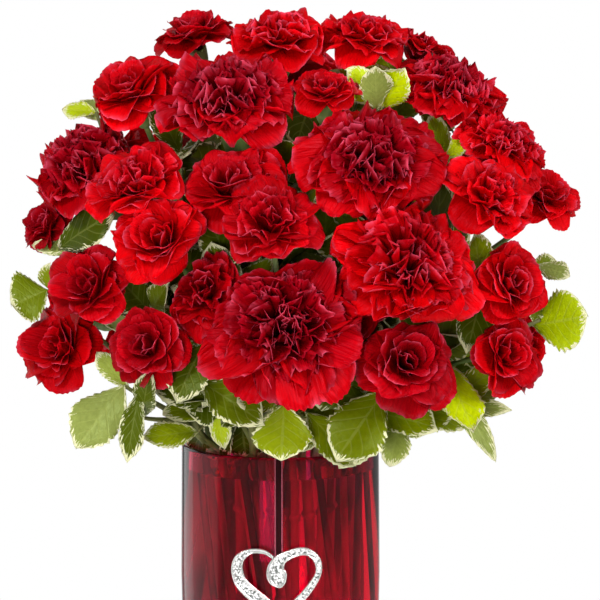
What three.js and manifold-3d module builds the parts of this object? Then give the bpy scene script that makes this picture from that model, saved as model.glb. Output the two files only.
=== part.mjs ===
// Red carnations in a glass vase. Millimetres, +Z up, origin at the centre of the vase's foot.
// Large carnations stand on a stem each, mini carnations share forked spray stems, and variegated
// pittosporum fills the gaps. The vase holds water, and a heart charm hangs on its front.
import * as THREE from "three";
import { mergeVertices } from "three/addons/utils/BufferGeometryUtils.js";
import Module from "manifold-3d";

const wasm = await Module();
wasm.setup();

// The vase and its water
const VASE_RADIUS = 51;
const VASE_HEIGHT = 152;
const VASE_SIDES = 28;
const WALL = 3.4;
const FLOOR = 9;
const BELLY_LEVEL = 85;
const WATER_DEPTH = 131;
const GAP = 0.3;

// Petals, and the room that neighbouring blooms leave each other
const SHEET = 1.1;
const CELL_GAP = 0.5;
const SQUEEZE = 7;
const MOUTH = { large: 6.5, mini: 4.2 };
const CALYX = { large: 19, mini: 11 };

// Radii of a large carnation's stem, a spray's stem and twig, and a leafy sprig's stem
const LARGE_STEM = 2.3;
const SPRAY_STEM = 1.9;
const TWIG = 1.35;
const SPRIG_STEM = 2;
const SHOOT_RADII = [1.8, 1.6, 1.4];

// How stems stand: the ring that they pass the mouth in, and how they lean across under water
const RIM_LEVEL = VASE_HEIGHT - 6;
const SLOT_RING = 37;
const SLOT_SPACING = 17;
const FOOT_TURN = 0.45;
const FOOT_SHRINK = 0.8;
const CROSSING = 5.2;
const SPRAY_FORK = 0.45;
const SPRIG_FORK = 0.3;
const FORK_STEP = 3.5;

// Leaves: a blade's thickness and arch, the step between two on a shoot, and how many a shoot keeps
const LEAF_THICK = 0.8;
const ARCH = 0.25;
const ROOT_STEP = 3.5;
const GOLDEN = 2.39996;
const LEAF_TRIES = 9;
const LEAVES_KEPT = 3;
const SETBACKS = [0, 0.1, 0.2, 0.3];
const SHIFTS = [[0, 0], [6, 0], [-6, 0], [0, 6], [0, -6], [12, 0], [-12, 0], [0, 12], [0, -12]];

// The charm and the ribbon that it hangs on
const CHARM_THICK = 1.6;
const CHARM_RIDGE = 0.7;
const RIBBON_WIDTH = 2.8;
const RIBBON_THICK = 0.9;
const RIBBON_TAIL = 11;

// The photograph's camera, which turns a place in the picture and a depth into a place on the bouquet
const CAMERA_DISTANCE = 1200;
const CAMERA_PITCH = THREE.MathUtils.degToRad(6.3);
const PICTURE_CENTRE = 300;
const MM_PER_PIXEL = 0.5075;
const AIM = new THREE.Vector3(10, 0, VASE_HEIGHT + 72.5);

// Places that steer the whole bouquet
const STEM_FOCUS = new THREE.Vector3(2, 0, VASE_HEIGHT + 4);
const FACE_FOCUS = new THREE.Vector3(8, 0, VASE_HEIGHT + 38);
const DOME_CENTRE = new THREE.Vector3(11, 0, VASE_HEIGHT + 72);
const DOME = new THREE.Vector3(124, 112, 128);

const TURN = 2 * Math.PI;
const vec = (x, y, z) => new THREE.Vector3(x, y, z);
const draw = (a, b) => {
  const s = Math.sin(a * 12.9898 + b * 78.233 + 4.1) * 43758.5453;
  return s - Math.floor(s);
};

// A point at depth y on the ray through pixel (px, py)
function seen(px, py, y) {
  const right = ((px - PICTURE_CENTRE) * MM_PER_PIXEL) / CAMERA_DISTANCE;
  const up = ((PICTURE_CENTRE - py) * MM_PER_PIXEL) / CAMERA_DISTANCE;
  const c = Math.cos(CAMERA_PITCH);
  const s = Math.sin(CAMERA_PITCH);
  const eye = vec(AIM.x, -CAMERA_DISTANCE * c, AIM.z + CAMERA_DISTANCE * s);
  const ray = vec(right, c + up * s, -s + up * c);
  return eye.addScaledVector(ray, (y - eye.y) / ray.y);
}

// A point on the dome: azimuth 0 faces the camera and 90 is to its right
function onDome(azimuth, elevation, share = 1) {
  const a = THREE.MathUtils.degToRad(azimuth);
  const e = THREE.MathUtils.degToRad(elevation);
  const way = vec(Math.cos(e) * Math.sin(a), -Math.cos(e) * Math.cos(a), Math.sin(e));
  return way.multiply(DOME).multiplyScalar(share).add(DOME_CENTRE);
}

// Every bloom: its centre, its radius, and how far its face leans to the front rather than straight out
const BLOOMS = {
  large_1: { at: seen(285, 338, -113), r: 42, lean: 0.2 },
  large_2: { at: seen(373, 154, -84), r: 40, lean: 0.5 },
  large_3: { at: seen(228, 104, -62), r: 37, lean: 0.5 },
  large_4: { at: seen(412, 262, -100), r: 38, lean: 0.3 },
  large_5: { at: seen(80, 160, -36), r: 36 },
  large_6: { at: seen(452, 86, -26), r: 34 },
  large_7: { at: seen(507, 142, -42), r: 28 },
  mini_1: { at: seen(128, 88, -40), r: 26, lean: 0.5 },
  mini_2: { at: seen(193, 36, -8), r: 22, lean: 0.4 },
  mini_3: { at: seen(280, 45, -36), r: 27, lean: 0.5 },
  mini_4: { at: seen(367, 45, -30), r: 27, lean: 0.6 },
  mini_5: { at: seen(327, 88, -66), r: 21, lean: 0.5 },
  mini_6: { at: seen(133, 177, -82), r: 27 },
  mini_7: { at: seen(44, 221, -38), r: 15 },
  mini_8: { at: seen(157, 238, -99), r: 28, lean: 0.5 },
  mini_9: { at: seen(230, 178, -84), r: 28 },
  mini_10: { at: seen(270, 218, -110), r: 27 },
  mini_11: { at: seen(85, 283, -82), r: 24 },
  mini_12: { at: seen(55, 350, -56), r: 24, lean: 0.7 },
  mini_13: { at: seen(143, 346, -96), r: 23 },
  mini_14: { at: seen(203, 288, -90), r: 25 },
  mini_15: { at: seen(495, 196, -82), r: 27 },
  mini_16: { at: seen(550, 190, -24), r: 22 },
  mini_17: { at: seen(515, 283, -76), r: 23 },
  mini_18: { at: seen(511, 357, -72), r: 23 },
  mini_19: { at: seen(411, 368, -104), r: 28 },
  mini_20: { at: seen(421, 52, 6), r: 20 },
  mini_21: { at: seen(350, 300, -88), r: 22 },
  large_8: { at: onDome(180, 0), r: 41 },
  large_9: { at: onDome(138, -6), r: 40 },
  large_10: { at: onDome(222, -6), r: 40 },
  large_11: { at: onDome(150, 38), r: 40 },
  large_12: { at: onDome(214, 38), r: 40 },
  mini_22: { at: onDome(98, -8), r: 30 },
  mini_23: { at: onDome(260, -2), r: 30 },
  mini_24: { at: onDome(104, 30), r: 30 },
  mini_25: { at: onDome(260, 34), r: 30 },
  mini_26: { at: onDome(182, 27), r: 27 },
  mini_27: { at: onDome(182, 68), r: 30 },
  mini_28: { at: onDome(200, -19), r: 26 },
  mini_29: { at: onDome(160, -19), r: 26 },
};

// A bloom's height for its radius
const RISE = { large: 0.84, mini: 0.95 };

const bloomList = Object.entries(BLOOMS).map(([name, bloom], i) => {
  const kind = name.split("_")[0];
  const lean = bloom.lean ?? (bloom.at.y < 0 ? 0.35 : -0.1);
  const facing = bloom.at.clone().sub(FACE_FOCUS).normalize().add(vec(0, -lean, 0)).normalize();
  const height = bloom.r * RISE[kind];
  const way = bloom.at.clone().sub(STEM_FOCUS).normalize();
  const base = bloom.at.clone().addScaledVector(facing, -0.55 * height);
  return { name, kind, facing, height, way, base, seed: i + 1, ...bloom };
});

// Blooms press against their neighbours: each keeps to its own cone out of the bouquet's middle.
// A wall between two blooms is a plane through the stem focus, nearer to the smaller bloom.
function wallsOf(bloom) {
  return bloomList
    .filter((other) => other !== bloom && other.way.dot(bloom.way) > 0.55)
    .map((other) => {
      const share = bloom.r / (bloom.r + other.r);
      const edge = bloom.way.clone().lerp(other.way, share).normalize();
      return other.way.clone().addScaledVector(edge, -other.way.dot(edge)).normalize();
    });
}

function squeeze(point, walls) {
  for (const wall of walls) {
    const room = -point.clone().sub(STEM_FOCUS).dot(wall) - CELL_GAP;
    if (room < SQUEEZE) {
      const kept = SQUEEZE * Math.exp((room - SQUEEZE) / SQUEEZE);
      point.addScaledVector(wall, room - kept);
    }
  }
  return point;
}

// Geometry and booleans
function meshGeometry(points, faces) {
  const geometry = new THREE.BufferGeometry();
  geometry.setAttribute("position", new THREE.Float32BufferAttribute(points.flatMap((p) => p.toArray()), 3));
  geometry.setIndex(faces.flat());
  return geometry;
}

function solidOf(geometry) {
  const bare = geometry.clone();
  bare.deleteAttribute("normal");
  bare.deleteAttribute("uv");
  const merged = mergeVertices(bare, 1e-4);
  const solid = new wasm.Manifold(
    new wasm.Mesh({
      numProp: 3,
      vertProperties: merged.attributes.position.array,
      triVerts: new Uint32Array(merged.index.array),
    }),
  );
  return solid;
}

function geometryOf(solid) {
  const mesh = solid.getMesh();
  const geometry = new THREE.BufferGeometry();
  geometry.setAttribute("position", new THREE.BufferAttribute(new Float32Array(mesh.vertProperties), 3));
  geometry.setIndex(new THREE.BufferAttribute(mesh.triVerts, 1));
  return geometry;
}

// Solids fused to one body. Sealed hollows and scraps that fusing leaves are dropped.
function joined(solids) {
  const bodies = solids.reduce((whole, next) => whole.add(next)).decompose();
  return bodies.reduce((a, b) => (Math.abs(b.volume()) > Math.abs(a.volume()) ? b : a));
}

// A closed skin over rings of equal count, capped at both ends
function loft(rings) {
  const n = rings[0].length;
  const points = rings.flat();
  const faces = [];
  for (let i = 0; i + 1 < rings.length; i++)
    for (let k = 0; k < n; k++) {
      const a = i * n + k;
      const b = i * n + ((k + 1) % n);
      faces.push([a, b, b + n], [a, b + n, a + n]);
    }
  const top = (rings.length - 1) * n;
  for (let k = 1; k + 1 < n; k++) {
    faces.push([0, k + 1, k]);
    faces.push([top, top + k, top + k + 1]);
  }
  return meshGeometry(points, faces);
}

function frameOf(axis, roll = 0) {
  const side = Math.abs(axis.z) > 0.95 ? vec(0, 1, 0) : vec(0, 0, 1);
  const u = side.clone().cross(axis).normalize();
  const v = axis.clone().cross(u);
  const c = Math.cos(roll);
  const s = Math.sin(roll);
  return [
    u.clone().multiplyScalar(c).addScaledVector(v, s),
    v.clone().multiplyScalar(c).addScaledVector(u, -s),
  ];
}

// Blooms
// Each layer of petals: how far it reaches and rises, its petals, the points on each petal's edge, how
// deep the clefts between petals go, how much the edge waves, and the valley it folds up from.
const LAYERS = {
  large: [
    { reach: 1.0, rise: 0.26, petals: 5, points: 4, notch: 0.2, wave: 3.2, valley: [0.3, 0.26, 10] },
    { reach: 0.84, rise: 0.62, petals: 5, points: 3, notch: 0.2, wave: 3.2, valley: [0.22, 0.48, 6] },
    { reach: 0.56, rise: 0.9, petals: 5, points: 2, notch: 0.3, wave: 2.2, valley: [0.12, 0.66, 4] },
    { reach: 0.28, rise: 1.04, petals: 3, points: 2, notch: 0.4, wave: 1.6, valley: [0, 0.7, 1] },
  ],
  mini: [
    { reach: 1.0, rise: 0.32, petals: 5, points: 3, notch: 0.14, wave: 1.5, valley: [0.32, 0.34, 6] },
    { reach: 0.78, rise: 0.78, petals: 5, points: 2, notch: 0.2, wave: 1.2, valley: [0.16, 0.6, 5] },
    { reach: 0.36, rise: 1.04, petals: 3, points: 2, notch: 0.34, wave: 0.9, valley: [0, 0.66, 1] },
  ],
};

// The ruffled edge of one layer of petals in the bloom's own frame, as its under and its upper ring
function petalEdge(bloom, layer, index) {
  const n = layer.petals * layer.points;
  const spin = (index * Math.PI) / layer.petals + draw(bloom.seed, index) * 0.6;
  const slope = Math.atan2(layer.rise * bloom.height, layer.reach * bloom.r);
  const upper = [];
  const under = [];
  for (let k = 0; k < n; k++) {
    const cleft = k % layer.points === 0;
    const stray = draw(bloom.seed * 7 + index, k) - 0.5;
    const r = layer.reach * bloom.r * (1 - (cleft ? layer.notch : 0) + 0.1 * stray);
    const angle = spin + (TURN * k) / n;
    const wave = layer.wave * (k % 2 ? 1 : -1) * (0.6 + 0.8 * draw(bloom.seed + 31, k + index));
    const z = r * Math.tan(slope) + (cleft ? -0.4 * layer.wave : wave);
    const out = vec(Math.cos(angle), Math.sin(angle), 0);
    const skew = vec(-out.x * Math.sin(slope), -out.y * Math.sin(slope), Math.cos(slope));
    const rim = out.multiplyScalar(r).setZ(z);
    upper.push(rim.clone().addScaledVector(skew, SHEET / 2));
    under.push(rim.clone().addScaledVector(skew, -SHEET / 2));
  }
  return [
    { points: under, spin },
    { points: upper, spin },
  ];
}

// A flat ring of points in the bloom's own frame
function level(radius, z, count, spin = 0) {
  const points = Array.from({ length: count }, (_, k) => {
    const a = spin + (TURN * k) / count;
    return vec(radius * Math.cos(a), radius * Math.sin(a), z);
  });
  return { points, spin };
}

// A closed skin over rings round the z axis, from a point to a point. Two rings of differing counts
// are joined by stepping on round the one whose next point comes first.
function ringedSkin(rings) {
  const faces = [];
  let start = 0;
  for (let i = 0; i + 1 < rings.length; i++) {
    const [a, b] = [rings[i], rings[i + 1]];
    const [countA, countB] = [a.points.length, b.points.length];
    const [stepsA, stepsB] = [countA, countB].map((count) => (count > 1 ? count : 0));
    const lag = ((a.spin - b.spin) * countB) / TURN;
    const shift = Math.round(lag);
    const low = (k) => start + (k % countA);
    const next = start + countA;
    const high = (k) => next + ((((k + shift) % countB) + countB) % countB);
    let [ka, kb] = [0, 0];
    while (ka < stepsA || kb < stepsB) {
      const lowFirst = (ka + 1) / countA <= (kb + 1 + shift - lag) / countB;
      if (kb >= stepsB || (ka < stepsA && lowFirst)) {
        faces.push([low(ka), low(ka + 1), high(kb)]);
        ka += 1;
      } else {
        faces.push([low(ka), high(kb + 1), high(kb)]);
        kb += 1;
      }
    }
    start = next;
  }
  return meshGeometry(rings.flatMap((ring) => ring.points), faces);
}

function ringOf(centre, axis, radius, sides, roll = 0) {
  const [u, v] = frameOf(axis, roll);
  return Array.from({ length: sides }, (_, k) => {
    const a = (TURN * k) / sides;
    return centre.clone().addScaledVector(u, radius * Math.cos(a)).addScaledVector(v, radius * Math.sin(a));
  });
}

function bloomSolid(bloom) {
  const rings = [level(0, 0, 1), level(MOUTH[bloom.kind], 0, 6)];
  LAYERS[bloom.kind].forEach((layer, i) => {
    const [under, upper] = petalEdge(bloom, layer, i);
    const [share, rise, count] = layer.valley;
    rings.push(under, upper, level(share * bloom.r, rise * bloom.height, count, upper.spin));
  });
  const [u, v] = frameOf(bloom.facing, draw(bloom.seed, 99) * TURN);
  const place = new THREE.Matrix4().makeBasis(u, v, bloom.facing).setPosition(bloom.base);
  const walls = wallsOf(bloom);
  const shape = ringedSkin(rings).applyMatrix4(place);
  const spots = shape.attributes.position;
  for (let i = 0; i < spots.count; i++) {
    const p = squeeze(new THREE.Vector3().fromBufferAttribute(spots, i), walls);
    spots.setXYZ(i, p.x, p.y, p.z);
  }
  return { solid: solidOf(shape), place };
}

// Vase and water
function lathe(profile, segments) {
  const shape = profile.map(([x, y]) => new THREE.Vector2(x, y));
  return new THREE.LatheGeometry(shape, segments).rotateX(Math.PI / 2);
}

const insideRadius = VASE_RADIUS - WALL;
const vaseProfile = [
  [0, 0],
  [VASE_RADIUS - 5, 0],
  [VASE_RADIUS - 1.6, 2.2],
  [VASE_RADIUS, BELLY_LEVEL],
  [VASE_RADIUS - 0.6, VASE_HEIGHT - 1],
  [VASE_RADIUS - 1.4, VASE_HEIGHT],
  [insideRadius + 0.4, VASE_HEIGHT],
  [insideRadius - 0.6, VASE_HEIGHT - 1],
  [insideRadius, BELLY_LEVEL],
  [insideRadius - 2.5, FLOOR],
  [0, FLOOR],
];
const vase = solidOf(lathe(vaseProfile, VASE_SIDES));

// Stems: each bunch stands on its own spot in the vase, and its stems cross and touch under water.
// A stem carries one large carnation, or forks to several mini ones.
const BUNCHES = {
  stems_1: [["large_3"], ["large_5"], ["mini_1", "mini_2", "mini_6"]],
  stems_2: [["mini_7", "mini_11", "mini_12"], ["mini_8", "mini_13", "mini_14"]],
  stems_3: [["large_1"], ["mini_9", "mini_10", "mini_21"]],
  stems_4: [["large_2"], ["mini_3", "mini_4", "mini_5"]],
  stems_5: [["large_6"], ["large_7"], ["mini_15", "mini_16", "mini_20"]],
  stems_6: [["large_4"], ["mini_17", "mini_18", "mini_19"]],
  stems_7: [["large_9"], ["large_11"], ["mini_22", "mini_24", "mini_29"]],
  stems_8: [["large_10"], ["large_12"], ["mini_23", "mini_25", "mini_28"]],
  stems_9: [["large_8"], ["mini_26", "mini_27"]],
};

// Pittosporum: each sprig forks to shoots. A shoot has the place where its leaves part, and the tips
// of its leaves, each with its width in millimetres.
const leafAt = (px, py, y, width) => ({ tip: seen(px, py, y), width });
const SPRIGS = {
  foliage_1: [
    { at: seen(112, 386, -72), leaves: [leafAt(70, 444, -84, 23), leafAt(96, 350, -64, 13)] },
    { at: seen(140, 392, -76), leaves: [leafAt(128, 462, -90, 15), leafAt(150, 372, -98, 12)] },
    { at: seen(192, 372, -66), leaves: [leafAt(178, 402, -104, 21), leafAt(144, 440, -84, 14)] },
    { at: seen(60, 290, -46), leaves: [leafAt(12, 304, -50, 21), leafAt(50, 264, -58, 12)] },
  ],
  foliage_2: [
    { at: seen(212, 386, -70), leaves: [leafAt(252, 432, -96, 23), leafAt(222, 446, -62, 10)] },
    { at: seen(285, 396, -72), leaves: [leafAt(281, 461, -98, 27), leafAt(238, 402, -96, 14)] },
    { at: seen(310, 408, -66), leaves: [leafAt(346, 466, -88, 21), leafAt(300, 452, -76, 16)] },
    { at: seen(226, 250, -60), leaves: [leafAt(207, 214, -86, 18), leafAt(246, 258, -90, 16)] },
  ],
  foliage_3: [
    { at: seen(372, 388, -66), leaves: [leafAt(340, 458, -96, 32), leafAt(326, 392, -92, 22)] },
    { at: seen(402, 416, -62), leaves: [leafAt(433, 431, -72, 14), leafAt(390, 466, -74, 14)] },
    { at: seen(456, 384, -58), leaves: [leafAt(473, 433, -80, 20), leafAt(496, 462, -66, 11)] },
    { at: seen(470, 366, -50), leaves: [leafAt(512, 410, -52, 9), leafAt(500, 366, -48, 14)] },
  ],
  foliage_4: [
    { at: seen(484, 282, -52), leaves: [leafAt(467, 352, -74, 18), leafAt(474, 232, -66, 16)] },
    { at: seen(540, 320, -36), leaves: [leafAt(588, 326, -42, 26), leafAt(566, 290, -30, 14)] },
    { at: seen(538, 266, -36), leaves: [leafAt(570, 276, -40, 11), leafAt(560, 258, -26, 12)] },
    { at: seen(450, 116, -30), leaves: [leafAt(457, 161, -58, 15), leafAt(432, 112, -44, 14)] },
  ],
  foliage_5: [
    { at: seen(66, 244, -46), leaves: [leafAt(108, 216, -66, 18), leafAt(32, 246, -44, 9)] },
    { at: seen(96, 112, -14), leaves: [leafAt(62, 110, -14, 10), leafAt(80, 100, -2, 12)] },
    { at: seen(152, 128, -36), leaves: [leafAt(150, 98, -44, 14), leafAt(190, 150, -58, 18)] },
    { at: seen(150, 312, -60), leaves: [leafAt(114, 274, -78, 20), leafAt(168, 284, -84, 14)] },
  ],
  foliage_6: [
    { at: seen(386, 106, -24), leaves: [leafAt(374, 64, -34, 18), leafAt(412, 74, -26, 12)] },
    { at: seen(345, 92, -18), leaves: [leafAt(362, 60, -26, 15), leafAt(298, 84, -34, 12)] },
    { at: onDome(160, 62, 0.8), leaves: [] },
    { at: onDome(180, -30, 0.7), leaves: [] },
    { at: onDome(122, 8, 0.74), leaves: [] },
    { at: onDome(242, 14, 0.74), leaves: [] },
  ],
};

const bloomOf = Object.fromEntries(bloomList.map((bloom) => [bloom.name, bloom]));
// The spot of each bunch and sprig in the vase's mouth: towards what it carries, and clear of the others
function slotsFor(targets) {
  const names = Object.keys(targets);
  const spots = names.map((name) => {
    const way = targets[name].clone().sub(STEM_FOCUS).normalize();
    const fall = Math.acos(way.z) / (Math.PI / 2);
    const flat = vec(way.x, way.y, 0).normalize();
    return flat.multiplyScalar(SLOT_RING * Math.min(1, fall * 1.15));
  });
  for (let round = 0; round < 200; round++) {
    for (let i = 0; i < spots.length; i++)
      for (let j = i + 1; j < spots.length; j++) {
        const apart = spots[j].clone().sub(spots[i]);
        const short = SLOT_SPACING - apart.length();
        if (short > 0) {
          apart.normalize().multiplyScalar(short * 0.5);
          spots[j].add(apart);
          spots[i].sub(apart);
        }
      }
    for (const spot of spots) spot.clampLength(0, SLOT_RING);
  }
  return Object.fromEntries(names.map((name, i) => [name, spots[i]]));
}

const meanOf = (points) => points.reduce((sum, p) => sum.add(p), vec(0, 0, 0)).divideScalar(points.length);
const targets = {};
for (const [name, stems] of Object.entries(BUNCHES)) {
  targets[name] = meanOf(stems.flat().map((bloom) => bloomOf[bloom].at));
}
for (const [name, shoots] of Object.entries(SPRIGS)) targets[name] = meanOf(shoots.map((shoot) => shoot.at));
const slots = slotsFor(targets);

const stood = [];

// The corner radius of a four-sided hole that leaves the gap all round a stem
const holeRadius = (stem) => (stem + GAP + 0.1) * Math.SQRT2;

// A stem's mouth and foot points in the vase
function standing(slot, offset) {
  const along = slot.length() > 1 ? slot.clone().normalize() : vec(1, 0, 0);
  const side = vec(-along.y, along.x, 0);
  const mouth = slot.clone().addScaledVector(side, offset).setZ(RIM_LEVEL);
  const foot = slot.clone().addScaledVector(side, -offset).multiplyScalar(FOOT_SHRINK);
  foot.applyAxisAngle(vec(0, 0, 1), FOOT_TURN).setZ(FLOOR + GAP);
  return { mouth, foot };
}

// A tube of changing radius through points
function tube(points, radii, sides) {
  const rings = points.map((p, i) => {
    const before = points[Math.max(0, i - 1)];
    const after = points[Math.min(points.length - 1, i + 1)];
    return ringOf(p, after.clone().sub(before).normalize(), radii[i], sides);
  });
  return solidOf(loft(rings));
}

function bend(start, startWay, end, endWay, count) {
  const reach = start.distanceTo(end) * 0.36;
  const curve = new THREE.CubicBezierCurve3(
    start,
    start.clone().addScaledVector(startWay, reach),
    end.clone().addScaledVector(endWay, -reach),
    end,
  );
  return curve.getPoints(count);
}

// The green cup under a bloom: how far each ring lies below the mouth, and how wide it is
const CALYX_RINGS = {
  large: [[1, 0.5], [0.7, 0.9], [0, 1]],
  mini: [[0.85, 0.75], [0, 1]],
};

// A stalk from a start to a bloom's calyx, which its end swells into
function stalk(before, start, startWay, bloom, radius, count, sides) {
  const length = CALYX[bloom.kind];
  const below = (distance) => bloom.base.clone().addScaledVector(bloom.facing, -GAP - distance);
  const cup = CALYX_RINGS[bloom.kind].map(([share]) => below(share * length));
  const end = below((CALYX_RINGS[bloom.kind][0][0] + 0.35) * length);
  const stem = [...before, ...bend(start, startWay, end, bloom.facing, count)];
  const widths = CALYX_RINGS[bloom.kind].map(([, share]) => share * (MOUTH[bloom.kind] + 0.5));
  return tube([...stem, ...cup], [...stem.map(() => radius), ...widths], sides);
}

// Where the twigs leave a stem: one after the other, back from its end
function forksOf(path, count) {
  const [before, end] = path.slice(-2);
  const back = before.clone().sub(end).normalize();
  return Array.from({ length: count }, (_, i) => end.clone().addScaledVector(back, 1.5 + FORK_STEP * i));
}

function stemSolids(names, offset, slot) {
  const { mouth, foot } = standing(slot, offset);
  const up = mouth.clone().sub(foot).normalize();
  const carried = names.map((name) => bloomOf[name]);
  stood.push({ mouth, foot, radius: holeRadius(carried.length === 1 ? LARGE_STEM : SPRAY_STEM) });
  if (carried.length === 1) return [stalk([foot], mouth, up, carried[0], LARGE_STEM, 2, 5)];
  const middle = meanOf(carried.map((bloom) => bloom.base));
  const fork = mouth.clone().lerp(middle, SPRAY_FORK);
  const onward = middle.clone().sub(mouth).normalize();
  const path = [foot, ...bend(mouth, up, fork, onward, 2)];
  const starts = forksOf(path, carried.length);
  return [
    tube(path, path.map(() => SPRAY_STEM), 5),
    ...carried.map((bloom, i) => stalk([], starts[i], onward, bloom, TWIG, 2, 4)),
  ];
}

// A leaf: broad towards its tip, folded along the middle, arched, and with a waved edge
const LEAF_FACES = [[0, 2, 1], [1, 2, 4], [1, 4, 3], [2, 5, 4], [3, 4, 6], [4, 5, 6]];
const LEAF_EDGE = [0, 1, 3, 6, 5, 2];

function leafSolid({ root, tip, face, width, seed }) {
  const along = tip.clone().sub(root);
  const length = along.length();
  const side = along.clone().cross(face).normalize();
  const up = side.clone().cross(along).normalize();
  const wave = (k) => 0.12 * width * (draw(seed, k) - 0.2);
  const skin = (lift) => {
    const at = (share, across, rise) => {
      const arch = ARCH * length * share * (1 - share);
      const spine = root.clone().addScaledVector(along, share).addScaledVector(up, lift + rise + arch);
      return spine.addScaledVector(side, across * width);
    };
    const near = [at(0.36, -0.4, wave(1)), at(0.36, 0.4, wave(2))];
    const far = [at(0.7, -0.5, wave(3)), at(0.7, 0, -0.08 * width), at(0.7, 0.5, wave(4))];
    return [at(0, 0, 0), ...near, ...far, at(1, 0, 0)];
  };
  const points = [...skin(-LEAF_THICK / 2), ...skin(LEAF_THICK / 2)];
  const n = points.length / 2;
  const faces = LEAF_FACES.flatMap(([a, b, c]) => [[a, c, b], [n + a, n + b, n + c]]);
  LEAF_EDGE.forEach((a, i) => {
    const b = LEAF_EDGE[(i + 1) % LEAF_EDGE.length];
    faces.push([a, n + b, b], [a, n + a, n + b]);
  });
  return solidOf(meshGeometry(points, faces));
}

// True where two solids stay more than the gap apart
function apart(a, b) {
  const [p, q] = [a.boundingBox(), b.boundingBox()];
  const near = [0, 1, 2].every((k) => p.min[k] < q.max[k] + GAP && q.min[k] < p.max[k] + GAP);
  return !near || a.minGap(b, 1) > GAP;
}

// The leaves tried on a shoot: those with given tips, then more that turn on by the golden angle
function leavesOf(shoot, at, way, step, seed) {
  const [u, v] = frameOf(way, TURN * draw(seed, 5));
  const tried = shoot.leaves.map((leaf, k) => {
    const root = at.clone().addScaledVector(way, -step * k);
    const along = leaf.tip.clone().sub(shoot.at).normalize();
    const face = vec(0, -1, 0.35).addScaledVector(way, 0.3);
    const tip = leaf.tip.clone().add(at).sub(shoot.at);
    return { root, tip, face, width: leaf.width, seed: seed + k };
  });
  for (let k = shoot.leaves.length; k < LEAF_TRIES; k++) {
    const root = at.clone().addScaledVector(way, -step * k);
    const out = u.clone().multiplyScalar(Math.cos(k * GOLDEN)).addScaledVector(v, Math.sin(k * GOLDEN));
    const splay = 0.6 + 0.08 * k;
    const along = way.clone().multiplyScalar(Math.cos(splay)).addScaledVector(out, Math.sin(splay));
    const length = 34 + 10 * draw(seed, k);
    const tip = root.clone().addScaledVector(along, length);
    tried.push({ root, tip, face: way.clone(), width: 0.5 * length, seed: seed + k });
  }
  return tried;
}

// A shoot moved back and aside, with its twig and the leaves that clear all the rest there
function shootAt(shoot, start, onward, back, [right, rise], seed, blocks, built) {
  const at = shoot.at.clone().lerp(start, back);
  at.x += right;
  at.z += rise;
  const path = bend(start, onward, at, at.clone().sub(start).normalize(), 2);
  const way = at.clone().sub(path[1]).normalize();
  const twig = tube(path, SHOOT_RADII, 3);
  const blades = [];
  if (![...blocks, ...built.blades].every((other) => apart(twig, other))) return { blades, worth: -1 };
  const others = [...blocks, ...built.blades, ...built.twigs];
  let worth = 0;
  const step = Math.min(ROOT_STEP, (0.9 * at.distanceTo(path[1])) / LEAF_TRIES);
  leavesOf(shoot, at, way, step, seed).forEach((leaf, k) => {
    if (blades.length === LEAVES_KEPT) return;
    const blade = leafSolid(leaf);
    if (![...others, ...blades].every((other) => apart(blade, other))) return;
    blades.push(blade);
    worth += k < shoot.leaves.length ? 3 : 1;
  });
  return { twig, blades, worth };
}

function sprigSolid(name, number, blocks) {
  const { mouth, foot } = standing(slots[name], 0);
  const up = mouth.clone().sub(foot).normalize();
  stood.push({ mouth, foot, radius: holeRadius(SPRIG_STEM) });
  const fork = mouth.clone().lerp(targets[name], SPRIG_FORK);
  const onward = targets[name].clone().sub(mouth).normalize();
  const path = [foot, ...bend(mouth, up, fork, onward, 2)];
  const built = { twigs: [tube(path, path.map(() => SPRIG_STEM), 5)], blades: [] };
  const starts = forksOf(path, SPRIGS[name].length);
  SPRIGS[name].forEach((shoot, i) => {
    const seed = number * 100 + i * 17;
    const options = SETBACKS.flatMap((back) =>
      SHIFTS.map((shift) => shootAt(shoot, starts[i], onward, back, shift, seed, blocks, built)),
    );
    const best = options.reduce((a, b) => (b.worth > a.worth ? b : a));
    if (best.worth <= 0) return;
    built.twigs.push(best.twig);
    built.blades.push(...best.blades);
  });
  return joined([...built.twigs, ...built.blades]);
}

// Water, with a hole round each stem
function waterSolid() {
  const reach = insideRadius - GAP;
  const bottom = FLOOR + GAP;
  const top = FLOOR + WATER_DEPTH;
  const profile = [[0, bottom], [reach - 2.5, bottom], [reach, BELLY_LEVEL], [reach - 0.5, top], [0, top]];
  return stood.reduce((left, { mouth, foot, radius }) => {
    const way = mouth.clone().sub(foot).normalize();
    const hole = tube([foot.clone().addScaledVector(way, -4), mouth], [radius, radius], 4);
    return left.subtract(hole);
  }, solidOf(lathe(profile, VASE_SIDES / 2)));
}

// The heart charm: two bands of metal that meet in a point, the right one curled in at the top.
// Its places are pixels of the picture, on the plane that it hangs in.
const CHARM_BACK = -(VASE_RADIUS + 2 * GAP + RIBBON_THICK);
const LEFT_BAND = [[266, 553.5], [257, 550.5], [247, 552], [238.5, 558.5], [236, 568], [240, 580], [251, 593],
  [266, 604], [283, 614]];
const RIGHT_BAND = [[279, 614], [296, 603], [306, 594], [315, 583], [319.5, 571], [318.5, 561], [312, 553],
  [302, 549.5], [292, 551], [284, 556], [283.5, 566], [284, 577], [278.5, 585], [271, 580], [269.5, 570],
  [270.5, 560], [264, 553]];

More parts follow.
